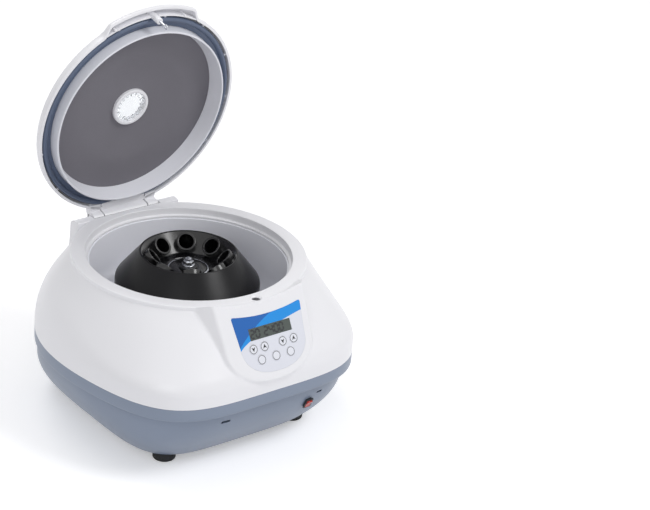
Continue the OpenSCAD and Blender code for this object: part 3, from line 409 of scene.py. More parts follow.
def metal(name, colour, rough=0.3, brushed=0.0, scale=(4.0, 4.0, 900.0)):
    material, tree, shader = new_material(name)
    place = tree.nodes.new("ShaderNodeTexCoord").outputs["Object"]
    stretch = tree.nodes.new("ShaderNodeMapping")
    stretch.inputs["Scale"].default_value = scale
    tree.links.new(place, stretch.inputs["Vector"])
    lines = noise(tree, stretch.outputs[0], 1.0, 4.0)
    base = use_group(tree, MOULDED, Colour=srgb(colour), Mottle=0.08, Roughness=rough, Spread=0.15)
    tree.links.new(base.outputs["Colour"], shader.inputs["Base Color"])
    rough_value = math_node(tree, "MULTIPLY_ADD", math_node(tree, "SUBTRACT", lines, 0.5), brushed,
                            base.outputs["Roughness"])
    tree.links.new(rough_value, shader.inputs["Roughness"])
    shader.inputs["Metallic"].default_value = 1.0
    bump(tree, shader, lines, 0.1 + brushed, 0.0001)
    return material


SHELL_WHITE = plastic("shell_white", "ebebef", rough=0.36, mottle=0.02, grain=700, grain_depth=0.05,
                      coat=0.15, wear=0.25)
SLATE = plastic("slate_plastic", "7c889c", rough=0.38, mottle=0.05, grain=1500, grain_depth=0.3, wear=0.2,
                specular=0.7, worn_colour="9aa6b8")
LINER_WHITE = plastic("liner_white", "e2e3ea", rough=0.42, mottle=0.03, grain=900, grain_depth=0.08)
BOWL_GREY = plastic("bowl_enamel", "f2f3fa", rough=0.34, mottle=0.03, grain=1200, grain_depth=0.1, coat=0.2)
ROTOR_BLACK = plastic("rotor_anodised", "101013", rough=0.3, mottle=0.12, grain=2200, grain_depth=0.25,
                      specular=0.2, wear=0.35, worn_colour="74757c")
DISH_BLACK = plastic("dish_polished", "0e0e10", rough=0.24, mottle=0.2, grain=1600, grain_depth=0.1,
                     coat=0.2, wear=0.3, worn_colour="66676d")
SLEEVE_BLACK = plastic("sleeve_plastic", "0c0c0e", rough=0.26, mottle=0.1, grain=1400, grain_depth=0.12,
                       coat=0.2, wear=0.3, worn_colour="55565c")
RUBBER = plastic("foot_rubber", "17181a", rough=0.75, mottle=0.2, grain=900, grain_depth=0.6)
GASKET = plastic("gasket_rubber", "566279", rough=0.45, mottle=0.06, grain=900, grain_depth=0.25)
# Dark plastic of the real dark parts; also painted shade on the dark pieces set behind the hinge gaps.
DARK_PLASTIC_AND_SHADE = plastic("dark_plastic_and_painted_shade", "1c1d20", rough=0.4, mottle=0.1, grain=1300, grain_depth=0.3)
KEY_WHITE = plastic("key_film", "e4e6ee", rough=0.35, mottle=0.02, grain=1600, grain_depth=0.1)
PRINT_DARK = plastic("dark_print", "15171c", rough=0.5, mottle=0.05, grain=1600, grain_depth=0.05)
ROCKER_RED = plastic("rocker_red", "b5281f", rough=0.25, mottle=0.05, grain=1200, grain_depth=0.06,
                     coat=0.4)
MOTOR_GREY = plastic("motor_paint", "6d6c72", rough=0.5, mottle=0.1, grain=800, grain_depth=0.3)
BOARD_GREEN = plastic("board_lacquer", "1c5c36", rough=0.35, mottle=0.15, grain=600, grain_depth=0.2)
STEEL = metal("bright_steel", "c9cbd0", rough=0.22, brushed=0.1)
SHEET = metal("zinc_sheet", "b4b6ba", rough=0.4, brushed=0.2)


def build_foam_disc():
    """The lid's grey disc: fine-pored sheet with the dome's rings pressed faintly through it."""
    material, tree, shader = new_material("lid_disc_foam")
    place = tree.nodes.new("ShaderNodeTexCoord").outputs["Object"]
    pores = noise(tree, place, 1700.0, 2.0)
    cloud = noise(tree, place, 9.0, 4.0)
    dark = mix_colour(tree, cloud, srgb("716f76"), srgb("807e85"))
    speck = mix_colour(tree, math_node(tree, "MULTIPLY", pores, 0.5), dark, srgb("66646b"))
    tree.links.new(speck, shader.inputs["Base Color"])
    shader.inputs["Roughness"].default_value = 0.72
    shader.inputs["Specular IOR Level"].default_value = 0.3
    bump(tree, shader, pores, 0.3, 0.0003)
    return material


LID_DISC = build_foam_disc()


def build_clear():
    material, tree, shader = new_material("clear_window")
    shader.inputs["Base Color"].default_value = (0.93, 0.95, 0.97, 1)
    shader.inputs["Roughness"].default_value = 0.05
    shader.inputs["IOR"].default_value = 1.49
    shader.inputs["Transmission Weight"].default_value = 0.92
    place = tree.nodes.new("ShaderNodeTexCoord").outputs["Object"]
    bump(tree, shader, noise(tree, place, 220.0, 2.0), 0.08, 0.0003)
    return material


CLEAR = build_clear()


# ---------------------------------------------------------------- places
def panel_frame():
    """The panel's own frame: x across, y up the slope, z out of the panel."""
    turn = Matrix.Rotation(PANEL_TILT, 4, "X")
    return Matrix.Translation((PANEL_X, PANEL_TOP_Y, RIM_Z)) @ turn


def lid_frame():
    """Turns what is drawn on the closed lid to the open lid."""
    hinge = Matrix.Translation((0, HINGE_Y, HINGE_Z))
    return hinge @ Matrix.Rotation(-OPEN_ANGLE, 4, "X") @ hinge.inverted()


PANEL = panel_frame()
LID = lid_frame()


def sink(z):
    return (STEP_Z - z) / (STEP_Z - BOTTOM_Z)


def front_y(z):
    t = sink(z)
    return BODY_Y * (1 - t) - mix(FRONT_DEPTH - BAND_STEP, BOTTOM_HALF, t ** CURL)


def rear_y(z):
    t = sink(z)
    return BODY_Y * (1 - t) + mix(BODY_R - BAND_STEP, BOTTOM_REAR, t ** CURL)


def shield(top_half, mid_half, top, low, sag=0.0, grow=0.0):
    """A shield outline: a round lower end, straight sides and an upper edge that may sag."""
    n = 2.3
    points = []
    for i in range(41):
        a = math.pi + math.pi * i / 40
        c, s = math.cos(a), math.sin(a)
        points.append((
            math.copysign(1, c) * (mid_half + grow) * abs(c) ** (2 / n),
            SHIELD_MID + math.copysign(1, s) * (SHIELD_MID - low + grow) * abs(s) ** (2 / n),
        ))
    for i in range(13):
        u = 1 - i / 6
        points.append(((top_half + grow) * u, top + grow - sag * (1 - u * u)))
    return points


def distance_to(outline, x, y):
    """Signed distance to a closed outline, negative inside."""
    best, inside = 1e9, False
    n = len(outline)
    for i in range(n):
        ax, ay = outline[i]
        bx, by = outline[(i + 1) % n]
        dx, dy = bx - ax, by - ay
        t = min(max(((x - ax) * dx + (y - ay) * dy) / (dx * dx + dy * dy + 1e-12), 0), 1)
        best = min(best, (x - ax - t * dx) ** 2 + (y - ay - t * dy) ** 2)
        if (ay > y) != (by > y) and x < (bx - ax) * (y - ay) / (by - ay) + ax:
            inside = not inside
    return -math.sqrt(best) if inside else math.sqrt(best)


# ---------------------------------------------------------------- upper housing
FRONT_SHOULDER = 23.0
REAR_SHOULDER = 38.0
RIM_LOW_Z = RIM_Z - 5


def frontness(a):
    return smooth((-math.sin(a) + 0.2) / 0.8)


def upper_point(a, t):
    """A point of the outer skin: t is 0 at the seam, 1 past the shoulder and 2 at the rim."""
    w = frontness(a)
    zs = SEAM_Z + mix(REAR_SHOULDER, FRONT_SHOULDER, w)
    soft = mix(30.0, 9.0, w)
    reach = mix(0.46, 0.13, w)
    if t <= 0.35:
        s, z = 0.0, mix(SEAM_Z, zs - soft, t / 0.35)
    elif t <= 1:
        u = (t - 0.35) / 0.65
        s = u * u * reach
        z = (1 - u) ** 2 * (zs - soft) + 2 * u * (1 - u) * zs + u * u * mix(zs, RIM_LOW_Z, reach)
    else:
        s = mix(reach, 1, t - 1)
        z = mix(mix(zs, RIM_LOW_Z, reach), RIM_LOW_Z, t - 1)
    return on_plan(a, mix(body_plan_r(a), RIM_R - 0.2, s), z, mix(BODY_Y, 0, s))


def raise_pad(p, outline):
    """Moves a point of the skin out to the raised panel pad, with a soft edge and a soft foot."""
    q = PANEL.inverted() @ p
    x, y = q.x + PANEL_X, q.y
    if abs(x) > 95 or q.y < -125 or p.y > -60:
        return p
    d = distance_to(outline, x, y)
    edge, steep = 1.8, 1.9
    if d < -edge:
        target = 0.0
    elif d < edge:
        target = -steep * (d + edge) ** 2 / (4 * edge)
    else:
        target = -steep * edge - steep * (d - edge)
    k = 1.4
    h = min(max(0.5 + 0.5 * (target - q.z) / k, 0), 1)
    lifted = mix(q.z, target, h) + k * h * (1 - h)
    if q.z > 0.2:
        return p
    return PANEL @ Vector((q.x, q.y, min(lifted, 0.0) if d < 0 else lifted))


def upper_angles():
    """Directions round the housing, closer together where the pad's edges are."""
    angles = []
    a = -math.pi
    while a < math.pi - 1e-6:
        angles.append(a)
        near = abs(a + math.pi / 2) < math.radians(34)
        a += math.radians(0.34 if near else 2.0)
    return angles


def build_upper_housing():
    angles = upper_angles()
    outline = shield(64, 61, 8, -93)
    levels = [0, 0.06, 0.2, 0.35]
    levels += [0.35 + 0.65 * i / 12 for i in range(1, 13)]
    levels += [1 + i / 60 for i in range(1, 61)]
    rings = []
    for t in levels:
        rings.append([raise_pad(upper_point(a, t), outline) for a in angles])
    rim = rounded(
        [(RIM_R - 0.2, RIM_LOW_Z), (RIM_R, RIM_LOW_Z + 1), (RIM_R, RIM_Z), (BAND_IN_R, RIM_Z),
         (BAND_IN_R - 0.6, LEDGE_Z),
         (MOUTH_R, LEDGE_Z), (MOUTH_R, LEDGE_Z - 3), (MOUTH_R + 8, LEDGE_Z - 3)],
        [0, 0, 2.2, 1.2, 1.4, 0.8, 0.4, 0], closed=False, steps=4,
    )[1:]
    for r, z in rim:
        ring = []
        for a in angles:
            p = Vector((r * math.cos(a), r * math.sin(a), z))
            if r > BAND_IN_R + 2:
                p = raise_pad(p, outline) if z < RIM_Z - 0.2 else p
            ring.append(p)
        rings.append(ring)
    bm = ring_loft(rings)
    shell = to_object(bm, "upper_shell", SHELL_WHITE, "housing", "upper_shell", ["upper_housing"],
                      wall=WALL)
    return shell


upper_shell = build_upper_housing()


def open_upper_housing():
    """Cuts the latch hole with its soft lip and the pocket of the hinge."""
    bm = bmesh.new()
    rod(bm, (0, STRIKER_Y, LEDGE_Z - 8), (0, STRIKER_Y, RIM_Z + 5), LATCH_R, 48)
    bmesh.ops.create_cone(bm, cap_ends=True, segments=48, radius1=LATCH_R - 0.5, radius2=LATCH_R + 2.1,
                          depth=2.6, matrix=Matrix.Translation((0, STRIKER_Y, RIM_Z - 0.9)))
    rod(bm, (-POCKET_HALF, HINGE_Y, HINGE_Z), (POCKET_HALF, HINGE_Y, HINGE_Z), POCKET_R, 48)
    box(bm, (-POCKET_HALF, HINGE_Y - POCKET_R, HINGE_Z), (POCKET_HALF, HINGE_Y + 40, HINGE_Z + 30))
    cut(upper_shell, bm)


open_upper_housing()


def build_hinge_block():
    """The raised block behind the rim that carries the hinge, with its two lugs."""
    bm = bmesh.new()
    half, tongue = 74.0, 48.6
    for side in (-1, 1):
        xs = sorted((side * half, side * tongue))
        profile = rounded([(129, 160), (129, 202.4), (139, 203.2), (146.6, 199), (147.5, 176), (150, 160)],
                          [0, 1, 6, 5, 6, 0], steps=5)
        verts = plate(bm, profile, xs[0], xs[1], Matrix.Identity(4))
        bmesh.ops.transform(
            bm, verts=verts,
            matrix=SIDEWAYS,
        )
    box(bm, (-tongue - 1, 129.5, 160), (tongue + 1, 148, 188.5))
    return to_object(bm, "hinge_block", SHELL_WHITE, "housing", "upper_shell", bevel=1.2, sharp=40)


build_hinge_block()


# ---------------------------------------------------------------- lower housing
def wall_point(a, z, inset=0.0):
    t = sink(z)
    k = t ** CURL
    r = plan_r(
        a, mix(BODY_R - BAND_STEP, BOTTOM_HALF, k) - inset,
        mix(FRONT_DEPTH - BAND_STEP, BOTTOM_HALF, k) - inset,
        mix(BODY_R - BAND_STEP, BOTTOM_REAR, k) - inset, mix(FRONT_SQUARE, BOTTOM_SQUARE, t),
        mix(SIDE_SQUARE, BOTTOM_SQUARE - 0.5, t), mix(REAR_SQUARE, BOTTOM_SQUARE - 0.5, t),
    )
    return on_plan(a, r, z, mix(BODY_Y, 0, t))


def on_switch():
    lean = math.atan((front_y(SWITCH_Z - 6) - front_y(SWITCH_Z + 6)) / 12)
    place = Matrix.Translation((SWITCH_X, front_y(SWITCH_Z) - 0.4, SWITCH_Z))
    return place @ Matrix.Rotation(math.pi / 2 + lean, 4, "X")


def on_rear():
    z = 46.0
    lean = math.atan((rear_y(z + 15) - rear_y(z - 15)) / 30)
    return (
        Matrix.Translation((0, rear_y(z) + 0.8, z))
        @ Matrix.Rotation(-math.pi / 2 - lean, 4, "X")
        @ Matrix.Rotation(math.pi, 4, "Z")
    )


def build_lower_housing():
    count = 200
    angles = [FULL_TURN * i / count for i in range(count)]
    rings = []
    for z, inset in ((BOTTOM_Z, 30), (BOTTOM_Z, 12), (BOTTOM_Z, 3.4), (BOTTOM_Z + 0.6, 1.4),
                     (BOTTOM_Z + 2, 0.3)):
        rings.append([wall_point(a, z, inset) for a in angles])
    for i in range(1, 25):
        z = mix(BOTTOM_Z + 2, STEP_Z - 1.6, i / 24)
        rings.append([wall_point(a, z) for a in angles])
    rings.append([wall_point(a, STEP_Z - 0.5) for a in angles])
    steps = ((0.0, 0.0), (0.12, 0.14), (0.3, 0.3), (0.7, 0.62))
    for f, g in steps:
        rings.append([
            wall_point(a, STEP_Z).lerp(on_plan(a, body_plan_r(a, 1.6), BAND_Z - 0.4), f)
            + Vector((0, 0, (g - f) * 0.6))
            for a in angles
        ])
    for z, inset in ((BAND_Z - 0.3, 1.5), (BAND_Z + 0.4, 0.7), (BAND_Z + 1.8, 0.2), (BAND_Z + 5, 0.1),
                     (SEAM_Z - 1.2, 0.0), (SEAM_Z - 0.5, 0.15), (SEAM_Z - 0.15, 0.6), (SEAM_Z - 0.15, 2.8)):
        rings.append([on_plan(a, body_plan_r(a, inset), z) for a in angles])
    bm = ring_loft(rings)
    shell = to_object(bm, "lower_shell", SLATE, "housing", "lower_shell", ["lower_housing"], wall=WALL)
    tools = bmesh.new()
    box(tools, (-4.55, -6.85, -16), (4.55, 6.85, 8), on_switch())
    for x, w, h in ((-58, 13, 3.4), (80, 9, 2.8)):
        y = front_y(SLOT_Z)
        rod(tools, (x - w / 2 + h / 2, y - 8, SLOT_Z), (x - w / 2 + h / 2, y + 12, SLOT_Z), h / 2, 16)
        rod(tools, (x + w / 2 - h / 2, y - 8, SLOT_Z), (x + w / 2 - h / 2, y + 12, SLOT_Z), h / 2, 16)
        box(tools, (x - w / 2 + h / 2, y - 8.2, SLOT_Z - h / 2),
            (x + w / 2 - h / 2, y + 12.2, SLOT_Z + h / 2))
    box(tools, (-31.05, -18.05, -30), (31.05, 18.05, 30), on_rear())
    for side in (-1, 1):
        for k in range(6):
            x = side * (50 + 9 * k)
            box(tools, (x - 1.7, 110, 42), (x + 1.7, 180, 68))
    cut(shell, tools)
    return shell


build_lower_housing()


# ---------------------------------------------------------------- chamber
def build_chamber():
    corner = rounded(
        [(125, 190.4), (118.5, 190.4), (118.5, 132), (30, 132), (26, 135), (24.2, 135), (24.2, 133.8),
         (29.6, 130.8), (119.7, 130.8), (119.7, 189.2), (125, 189.2)],
        [0, 0.6, 16, 1, 0.5, 0.2, 0.2, 1, 17, 0.6, 0], steps=10,
    )
    return spun("bowl", corner, BOWL_GREY, "housing", "bowl", ["chamber_bowl"], steps=160)


build_chamber()


# ---------------------------------------------------------------- rotor
ROTOR_TOP_Z = 203.5
ROTOR_RIM_R = 59.0
DISH_Z = 183.0
WELL_R = 41.0
WELL_Z = 197.0
ROTOR_TURN = 14.5
WELLS = 8


def at_well(i):
    return (
        Matrix.Rotation(math.radians(360 / WELLS * i + ROTOR_TURN), 4, "Z")
        @ Matrix.Translation((0, WELL_R, WELL_Z))
        @ Matrix.Rotation(math.radians(45), 4, "X")
    )


def cut_wells(obj):
    tools = bmesh.new()
    for i in range(WELLS):
        place = at_well(i)
        rod(tools, place @ Vector((0, 0, -19)), place @ Vector((0, 0, 30)), 10.8, 48)
    cut(obj, tools)


def build_rotor():
    cone = rounded(
        [(87.3, 150), (87.3, 168), (ROTOR_RIM_R, ROTOR_TOP_Z), (57.4, ROTOR_TOP_Z),
         (57.4, ROTOR_TOP_Z - 2.4), (84.4, 166.6), (84.4, 150)],
        [0.6, 7, 1.2, 0.4, 0, 4, 0.4], steps=8,
    )
    spun("rotor_cone", cone, ROTOR_BLACK, "rotor", "rotor_metal", ["rotor_body"], steps=160)
    dish = rounded(
        [(57.6, ROTOR_TOP_Z - 0.3), (36.6, DISH_Z), (26, DISH_Z), (25.4, DISH_Z - 0.7),
         (22.6, DISH_Z - 0.7), (22, DISH_Z),
         (4.1, DISH_Z), (4.1, DISH_Z - 8), (16, DISH_Z - 8), (16, DISH_Z - 2.6), (38.2, DISH_Z - 2.6),
         (57, ROTOR_TOP_Z - 3.6)], [0.3, 2.5, 0.3, 0.3, 0.3, 0.3, 0.2, 0, 0, 0, 0, 0], steps=5,
    )
    inner = spun("rotor_dish", dish, DISH_BLACK, "rotor", "rotor_metal", ["rotor_body"], steps=160)
    cut_wells(inner)
    sleeve = rounded(
        [(9, 0.3), (11.7, 0.3), (11.7, -6.6), (10.7, -6.6), (10.7, -38), (6, -46.6), (0.01, -46.6),
         (0.01, -45), (5, -44.6), (9, -37)],
        [0.9, 0.9, 0.3, 0.3, 4, 4, 0, 0, 3, 3], steps=5,
    )
    for i in range(WELLS):
        spun(f"tube_socket_{i + 1}", sleeve, SLEEVE_BLACK, "rotor", "rotor_metal", [f"tube_sleeve_{i + 1}"],
             steps=64, closed=True, turn=at_well(i))


build_rotor()


def build_rotor_fixings():
    washer = rounded([(4.1, 183), (11, 183), (11, 185.4), (4.1, 185.4)], [0, 0.3, 0.8, 0.3], steps=3)
    spun("hub_washer", washer, DARK_PLASTIC_AND_SHADE, "rotor", "black_plastic", ["rotor_washer"], steps=72)
    bm = bmesh.new()
    bmesh.ops.create_cone(bm, cap_ends=True, segments=6, radius1=6.6, radius2=6.6, depth=5,
                          matrix=Matrix.Translation((0, 0, 188.9)))
    spin_profile(bm, rounded([(4.0, 185.4), (7.4, 185.4), (7.4, 186.8), (4.0, 186.8)], [0, 0.2, 0.4, 0],
                             steps=3), 48)
    to_object(bm, "hub_nut", STEEL, "rotor", "sheet", ["rotor_nut"], bevel=0.5, sharp=30)
    thread = [(0.01, 185)]
    z = 185.0
    while z < 193.6:
        thread += [(3.4, z), (3.95, z + 0.4)]
        z += 0.8
    thread += [(3.4, 193.8), (3.2, 194.2), (2.2, 194.6), (0.01, 194.6)]
    spun("spindle_tip", thread, STEEL, "rotor", "sheet", steps=40, closed=False, sharp=60)
    ring = rounded([(22.9, DISH_Z - 0.65), (25.1, DISH_Z - 0.65), (25.1, DISH_Z - 0.3),
                    (22.9, DISH_Z - 0.3)], 0.1, steps=2)
    spun("dish_ring", ring, STEEL, "rotor", "sheet", steps=120)


build_rotor_fixings()


# ---------------------------------------------------------------- lid
DOME_TOP_Z = LID_Z + 27
VIEW_R = 21.2
VISOR_HALF = 61.0
VISOR_OUT = 10.5
DISC_Z = LID_Z + 12
DISH = 6.5
FLANGE_Z = LID_Z + 6.5


def bend(a, b, c, n):
    """A quadratic curve from a to c with its handle at b."""
    a, b, c = Vector(a), Vector(b), Vector(c)
    steps = [i / n for i in range(n + 1)]
    return [tuple((1 - t) ** 2 * a + 2 * t * (1 - t) * b + t ** 2 * c) for t in steps]


def visor_swell(a, z):
    """How far the lid's edge stands out at one direction and height."""
    x = abs(LID_R * math.cos(a))
    if math.sin(a) > 0:
        return 0.0
    fade = 1 - smooth((z - LID_Z - 3.5) / 12.5)
    return VISOR_OUT * smooth((VISOR_HALF + 7 - x) / 14) * fade


def build_lid_dome():
    outer = [(133.5, LID_Z), (136.2, LID_Z), (136.8, LID_Z + 0.25), (137, LID_Z + 0.8), (137, LID_Z + 2.4)]
    outer += bend((137, LID_Z + 4), (137, LID_Z + 13), (125, LID_Z + 16), 12)
    outer += bend((119, LID_Z + 17.5), (92, DOME_TOP_Z - 3.4), (65.5, DOME_TOP_Z - 1.7), 14)
    outer += bend((63.5, DOME_TOP_Z - 1.5), (62.4, DOME_TOP_Z - 0.5), (60.4, DOME_TOP_Z - 0.5), 5)
    outer += [(50, DOME_TOP_Z - 0.3), (30, DOME_TOP_Z), (23, DOME_TOP_Z)]
    outer += bend((22.7, DOME_TOP_Z), (VIEW_R, DOME_TOP_Z), (VIEW_R, DOME_TOP_Z - 1.5), 4)
    inner = [(VIEW_R, DOME_TOP_Z - 6), (24.3, DOME_TOP_Z - 6), (24.3, DOME_TOP_Z - 2.6),
             (65, DOME_TOP_Z - 4.2)]
    inner += bend((65.5, DOME_TOP_Z - 4.3), (92, DOME_TOP_Z - 6), (119, LID_Z + 14.9), 8)
    inner += [(125, LID_Z + 13.2), (130.6, LID_Z + 10.8), (133, LID_Z + 8.6), (133.5, LID_Z + 7)]
    bm = bmesh.new()
    spin_profile(bm, outer + inner, steps=360)
    bmesh.ops.remove_doubles(bm, verts=bm.verts, dist=1e-4)
    for vert in bm.verts:
        r = math.hypot(vert.co.x, vert.co.y)
        if r > 124:
            a = math.atan2(vert.co.y, vert.co.x)
            grow = 1 + visor_swell(a, vert.co.z) * min((r - 124) / 9, 1) / r
            vert.co.x *= grow
            vert.co.y *= grow
    bmesh.ops.transform(bm, matrix=LID, verts=bm.verts)
    to_object(bm, "lid_dome", SHELL_WHITE, "lid", "upper_shell", ["lid_shell"])


build_lid_dome()


def arc_wall(bm, r0, r1, z0, z1, start, sweep, steps):
    """A curved wall: a rectangle spun part of a turn about Z from one direction."""
    corners = [(r0, z0), (r1, z0), (r1, z1), (r0, z1)]
    c, s = math.cos(start), math.sin(start)
    verts = [bm.verts.new((r * c, r * s, z)) for r, z in corners]
    first = bm.faces.new(verts)
    made = bmesh.ops.spin(bm, geom=[first], cent=(0, 0, 0), axis=(0, 0, 1), angle=sweep, steps=steps)
    return made


def build_lid_trim():
    """The inner wall of the finger lip with its two pegs, and the tabs that hold the liner."""
    bm = bmesh.new()
    half = math.asin((VISOR_HALF + 3) / 137)
    arc_wall(bm, 133.9, 135.9, LID_Z + 0.6, LID_Z + 11, -math.pi / 2 - half, 2 * half, 48)
    for x, y in ((-53, -127), (45, -129)):
        rod(bm, (x, y, LID_Z - 0.8), (x, y, LID_Z + 10), 1.5, 16)
    bmesh.ops.transform(bm, matrix=LID, verts=bm.verts)
    to_object(bm, "finger_lip_wall", SHELL_WHITE, "lid", "upper_shell", ["lid_shell"], bevel=0.3)
    bm = bmesh.new()
    for degrees in range(20, 331, 28):
        turn = Matrix.Rotation(math.radians(90 + degrees), 4, "Z")
        box(bm, (129.6, -1.3, FLANGE_Z - 3.6), (134.2, 1.3, FLANGE_Z - 1.2), turn)
    bmesh.ops.transform(bm, matrix=LID, verts=bm.verts)
    to_object(bm, "liner_tabs", LINER_WHITE, "lid", "upper_shell", ["lid_liner"], bevel=0.3)


build_lid_trim()


def build_liner():
    ring = rounded(
        [(115.6, 194.5), (118, 194.5), (118, FLANGE_Z), (131.3, FLANGE_Z), (131.3, FLANGE_Z + 1.5),
         (117, FLANGE_Z + 1.5),
         (113.4, DISC_Z + 2.7), (101.4, DISC_Z + 2.7), (101.4, DISC_Z + 1.5), (111.4, DISC_Z + 1.5),
         (111.4, DISC_Z - 0.2)], [1.1, 1.1, 0.8, 0.2, 0.2, 0, 0, 0, 0, 0, 0.2], steps=5,
    )
    spun("liner_ring", ring, LINER_WHITE, "lid", "upper_shell", ["lid_liner"], steps=200, turn=LID)
    low, top = FLANGE_Z - 1.6, FLANGE_Z
    gasket = [(118.8, top), (118.8, low + 0.2), (119.2, low), (124.4, low)]
    gasket += [(128.1 + 3 * math.cos(a), FLANGE_Z - 3 + 3 * math.sin(a))
               for a in (math.pi + math.pi * i / 12 for i in range(13))]
    gasket += [(131.1, top)]
    spun("gasket_ring", gasket, GASKET, "lid", "gasket", ["lid_gasket"], steps=200, turn=LID)
    lower = [(VIEW_R + 3.3, DISC_Z + DISH), (58, DISC_Z + DISH - 1.2), (60.4, DISC_Z + DISH - 2.2),
             (66, DISC_Z + DISH - 2.6), (68.4, DISC_Z + DISH - 3.6), (80.6, DISC_Z + 1.9),
             (111.3, DISC_Z + 0.1)]
    upper = [(r, z + 1.4) for r, z in reversed(lower)]
    spun("liner_foam", lower + upper, LID_DISC, "lid", "disc", ["liner_disc"], steps=200, turn=LID,
         sharp=60)


build_liner()


def build_viewport():
    collar = rounded(
        [(VIEW_R - 1, DISC_Z + DISH - 4), (VIEW_R + 3.2, DISC_Z + DISH - 4),
         (VIEW_R + 3.2, DOME_TOP_Z - 6.1), (VIEW_R - 1, DOME_TOP_Z - 6.1)],
        [0.8, 1.4, 0.2, 0.2], steps=4,
    )
    spun("viewport_ring", collar, SHELL_WHITE, "lid", "upper_shell", ["viewport_collar"], steps=96,
         turn=LID)
    bm = bmesh.new()
    for i in range(16):
        turn = Matrix.Rotation(FULL_TURN * i / 16, 4, "Z")
        box(bm, (14.6, -1.3, DISC_Z + DISH - 1.5), (20.1, 1.3, DOME_TOP_Z - 8.2), turn)
    bmesh.ops.transform(bm, matrix=LID, verts=bm.verts)
    to_object(bm, "viewport_ribs", CLEAR, "lid", "window", ["viewport_window"], bevel=0.4)
    pane = rounded(
        [(0.01, DOME_TOP_Z - 8), (VIEW_R + 1.4, DOME_TOP_Z - 8), (VIEW_R + 1.4, DOME_TOP_Z - 6.2),
         (0.01, DOME_TOP_Z - 6)], [0, 0.4, 0.4, 0], steps=3,
    )
    spun("viewport_pane", pane, CLEAR, "lid", "window", ["viewport_window"], steps=96, turn=LID)


build_viewport()


def build_striker():
    boss = rounded(
        [(0.01, 191.5), (4.1, 191.5), (4.1, LID_Z + 4), (5.2, LID_Z + 9.5), (0.01, LID_Z + 9.5)],
        [0, 0.9, 3, 0, 0], steps=4,
    )
    here = LID @ Matrix.Translation((0, STRIKER_Y, 0))
    spun("striker_post", boss, SHELL_WHITE, "lid", "upper_shell", ["striker_boss"], steps=48, turn=here)
    bm = bmesh.new()
    rod(bm, (0, 0, 181.6), (0, 0, 191.7), 1.6, 24)
    ring = bmesh.ops.create_circle(bm, segments=16, radius=0.8,
                                   matrix=Matrix.Translation((0, 2.4, 179)))["verts"]
    geom = ring + list({e for v in ring for e in v.link_edges})
    bmesh.ops.spin(bm, geom=geom, cent=(0, 0, 179), axis=(1, 0, 0), angle=FULL_TURN, steps=32,
                   use_merge=True)
    bmesh.ops.transform(bm, matrix=here, verts=bm.verts)
    to_object(bm, "striker_loop", STEEL, "lid", "sheet", ["striker_pin"])


build_striker()


def round_hinge(r, degrees):
    """Points round the hinge's axis, as (y, z) pairs."""
    return [(HINGE_Y + r * math.cos(math.radians(d)),
             HINGE_Z + r * math.sin(math.radians(d))) for d in degrees]


def tongue_outline(shrink):
    """Side view of the lid's hinge tongue on the closed lid, as (y, z) pairs."""
    r = 6.5 - shrink
    outline = round_hinge(r, range(180, 361, 12)) + bend((141.4, 203), (141.4, 211.5), (133, 213), 6)
    return outline + [(124.5, 213), (124.5, LID_Z + shrink), (HINGE_Y - r, LID_Z + shrink)]


def build_tongue():
    for name, x0, x1, shrink, node in (
        ("hinge_arm_left", -47.5, -32.6, 0.0, "lid_shell"), ("hinge_arm_right", 32.6, 47.5, 0.0,
                                                             "lid_shell"),
        ("hinge_apron", -31.2, 31.2, 0.3, "hinge_cover"),
    ):
        bm = bmesh.new()
        plate(bm, tongue_outline(shrink), x0, x1, SIDEWAYS)
        bmesh.ops.transform(bm, matrix=LID, verts=bm.verts)
        to_object(bm, name, SHELL_WHITE, "lid", "upper_shell", [node], bevel=0.5, sharp=40)


build_tongue()


def build_hinge_gaps():
    """Painted shade: dark pieces set where the gaps beside the hinge cover and round the hinge barrels only
    look dark from their depth.
    """
    # Painted shade: a dark plate inside the tongue, seen through the gaps beside the hinge cover, where
    # there is only depth.
    bm = bmesh.new()
    plate(bm, tongue_outline(2.4), -33.4, 33.4, SIDEWAYS)
    bmesh.ops.transform(bm, matrix=LID, verts=bm.verts)
    to_object(bm, "hinge_gap_painted_shade", DARK_PLASTIC_AND_SHADE, "lid", "black_plastic")
    # Painted shade: a thin dark arc inside the hinge pocket, seen as a dark line round the barrels where the
    # pocket is only deep.
    bm = bmesh.new()
    inside = round_hinge(POCKET_R - 0.4, range(150, 391, 12))
    outside = round_hinge(POCKET_R, range(390, 149, -12))
    plate(bm, inside + outside, 0.1 - POCKET_HALF, POCKET_HALF - 0.1, SIDEWAYS)
    to_object(bm, "hinge_trough_painted_shade", DARK_PLASTIC_AND_SHADE, "housing", "black_plastic")


build_hinge_gaps()


# ---------------------------------------------------------------- panel
LCD_V = -36.0
KEY_PLACES = {
    "left_down": (-28.8, -52.8), "left_up": (-13, -52.8), "right_down": (13, -52.8),
    "right_up": (28.8, -52.8),
    "low_left": (-20.7, -66.8), "low_middle": (0, -66.8), "low_right": (20.7, -66.8),
}
KEY_R = 5.8


def above(tree, y, line, soft=0.0002):
    """A mask that is 1 where y lies above a line, in metres."""
    return math_node(tree, "DIVIDE", math_node(tree, "SUBTRACT", y, line), soft, clamp=True)


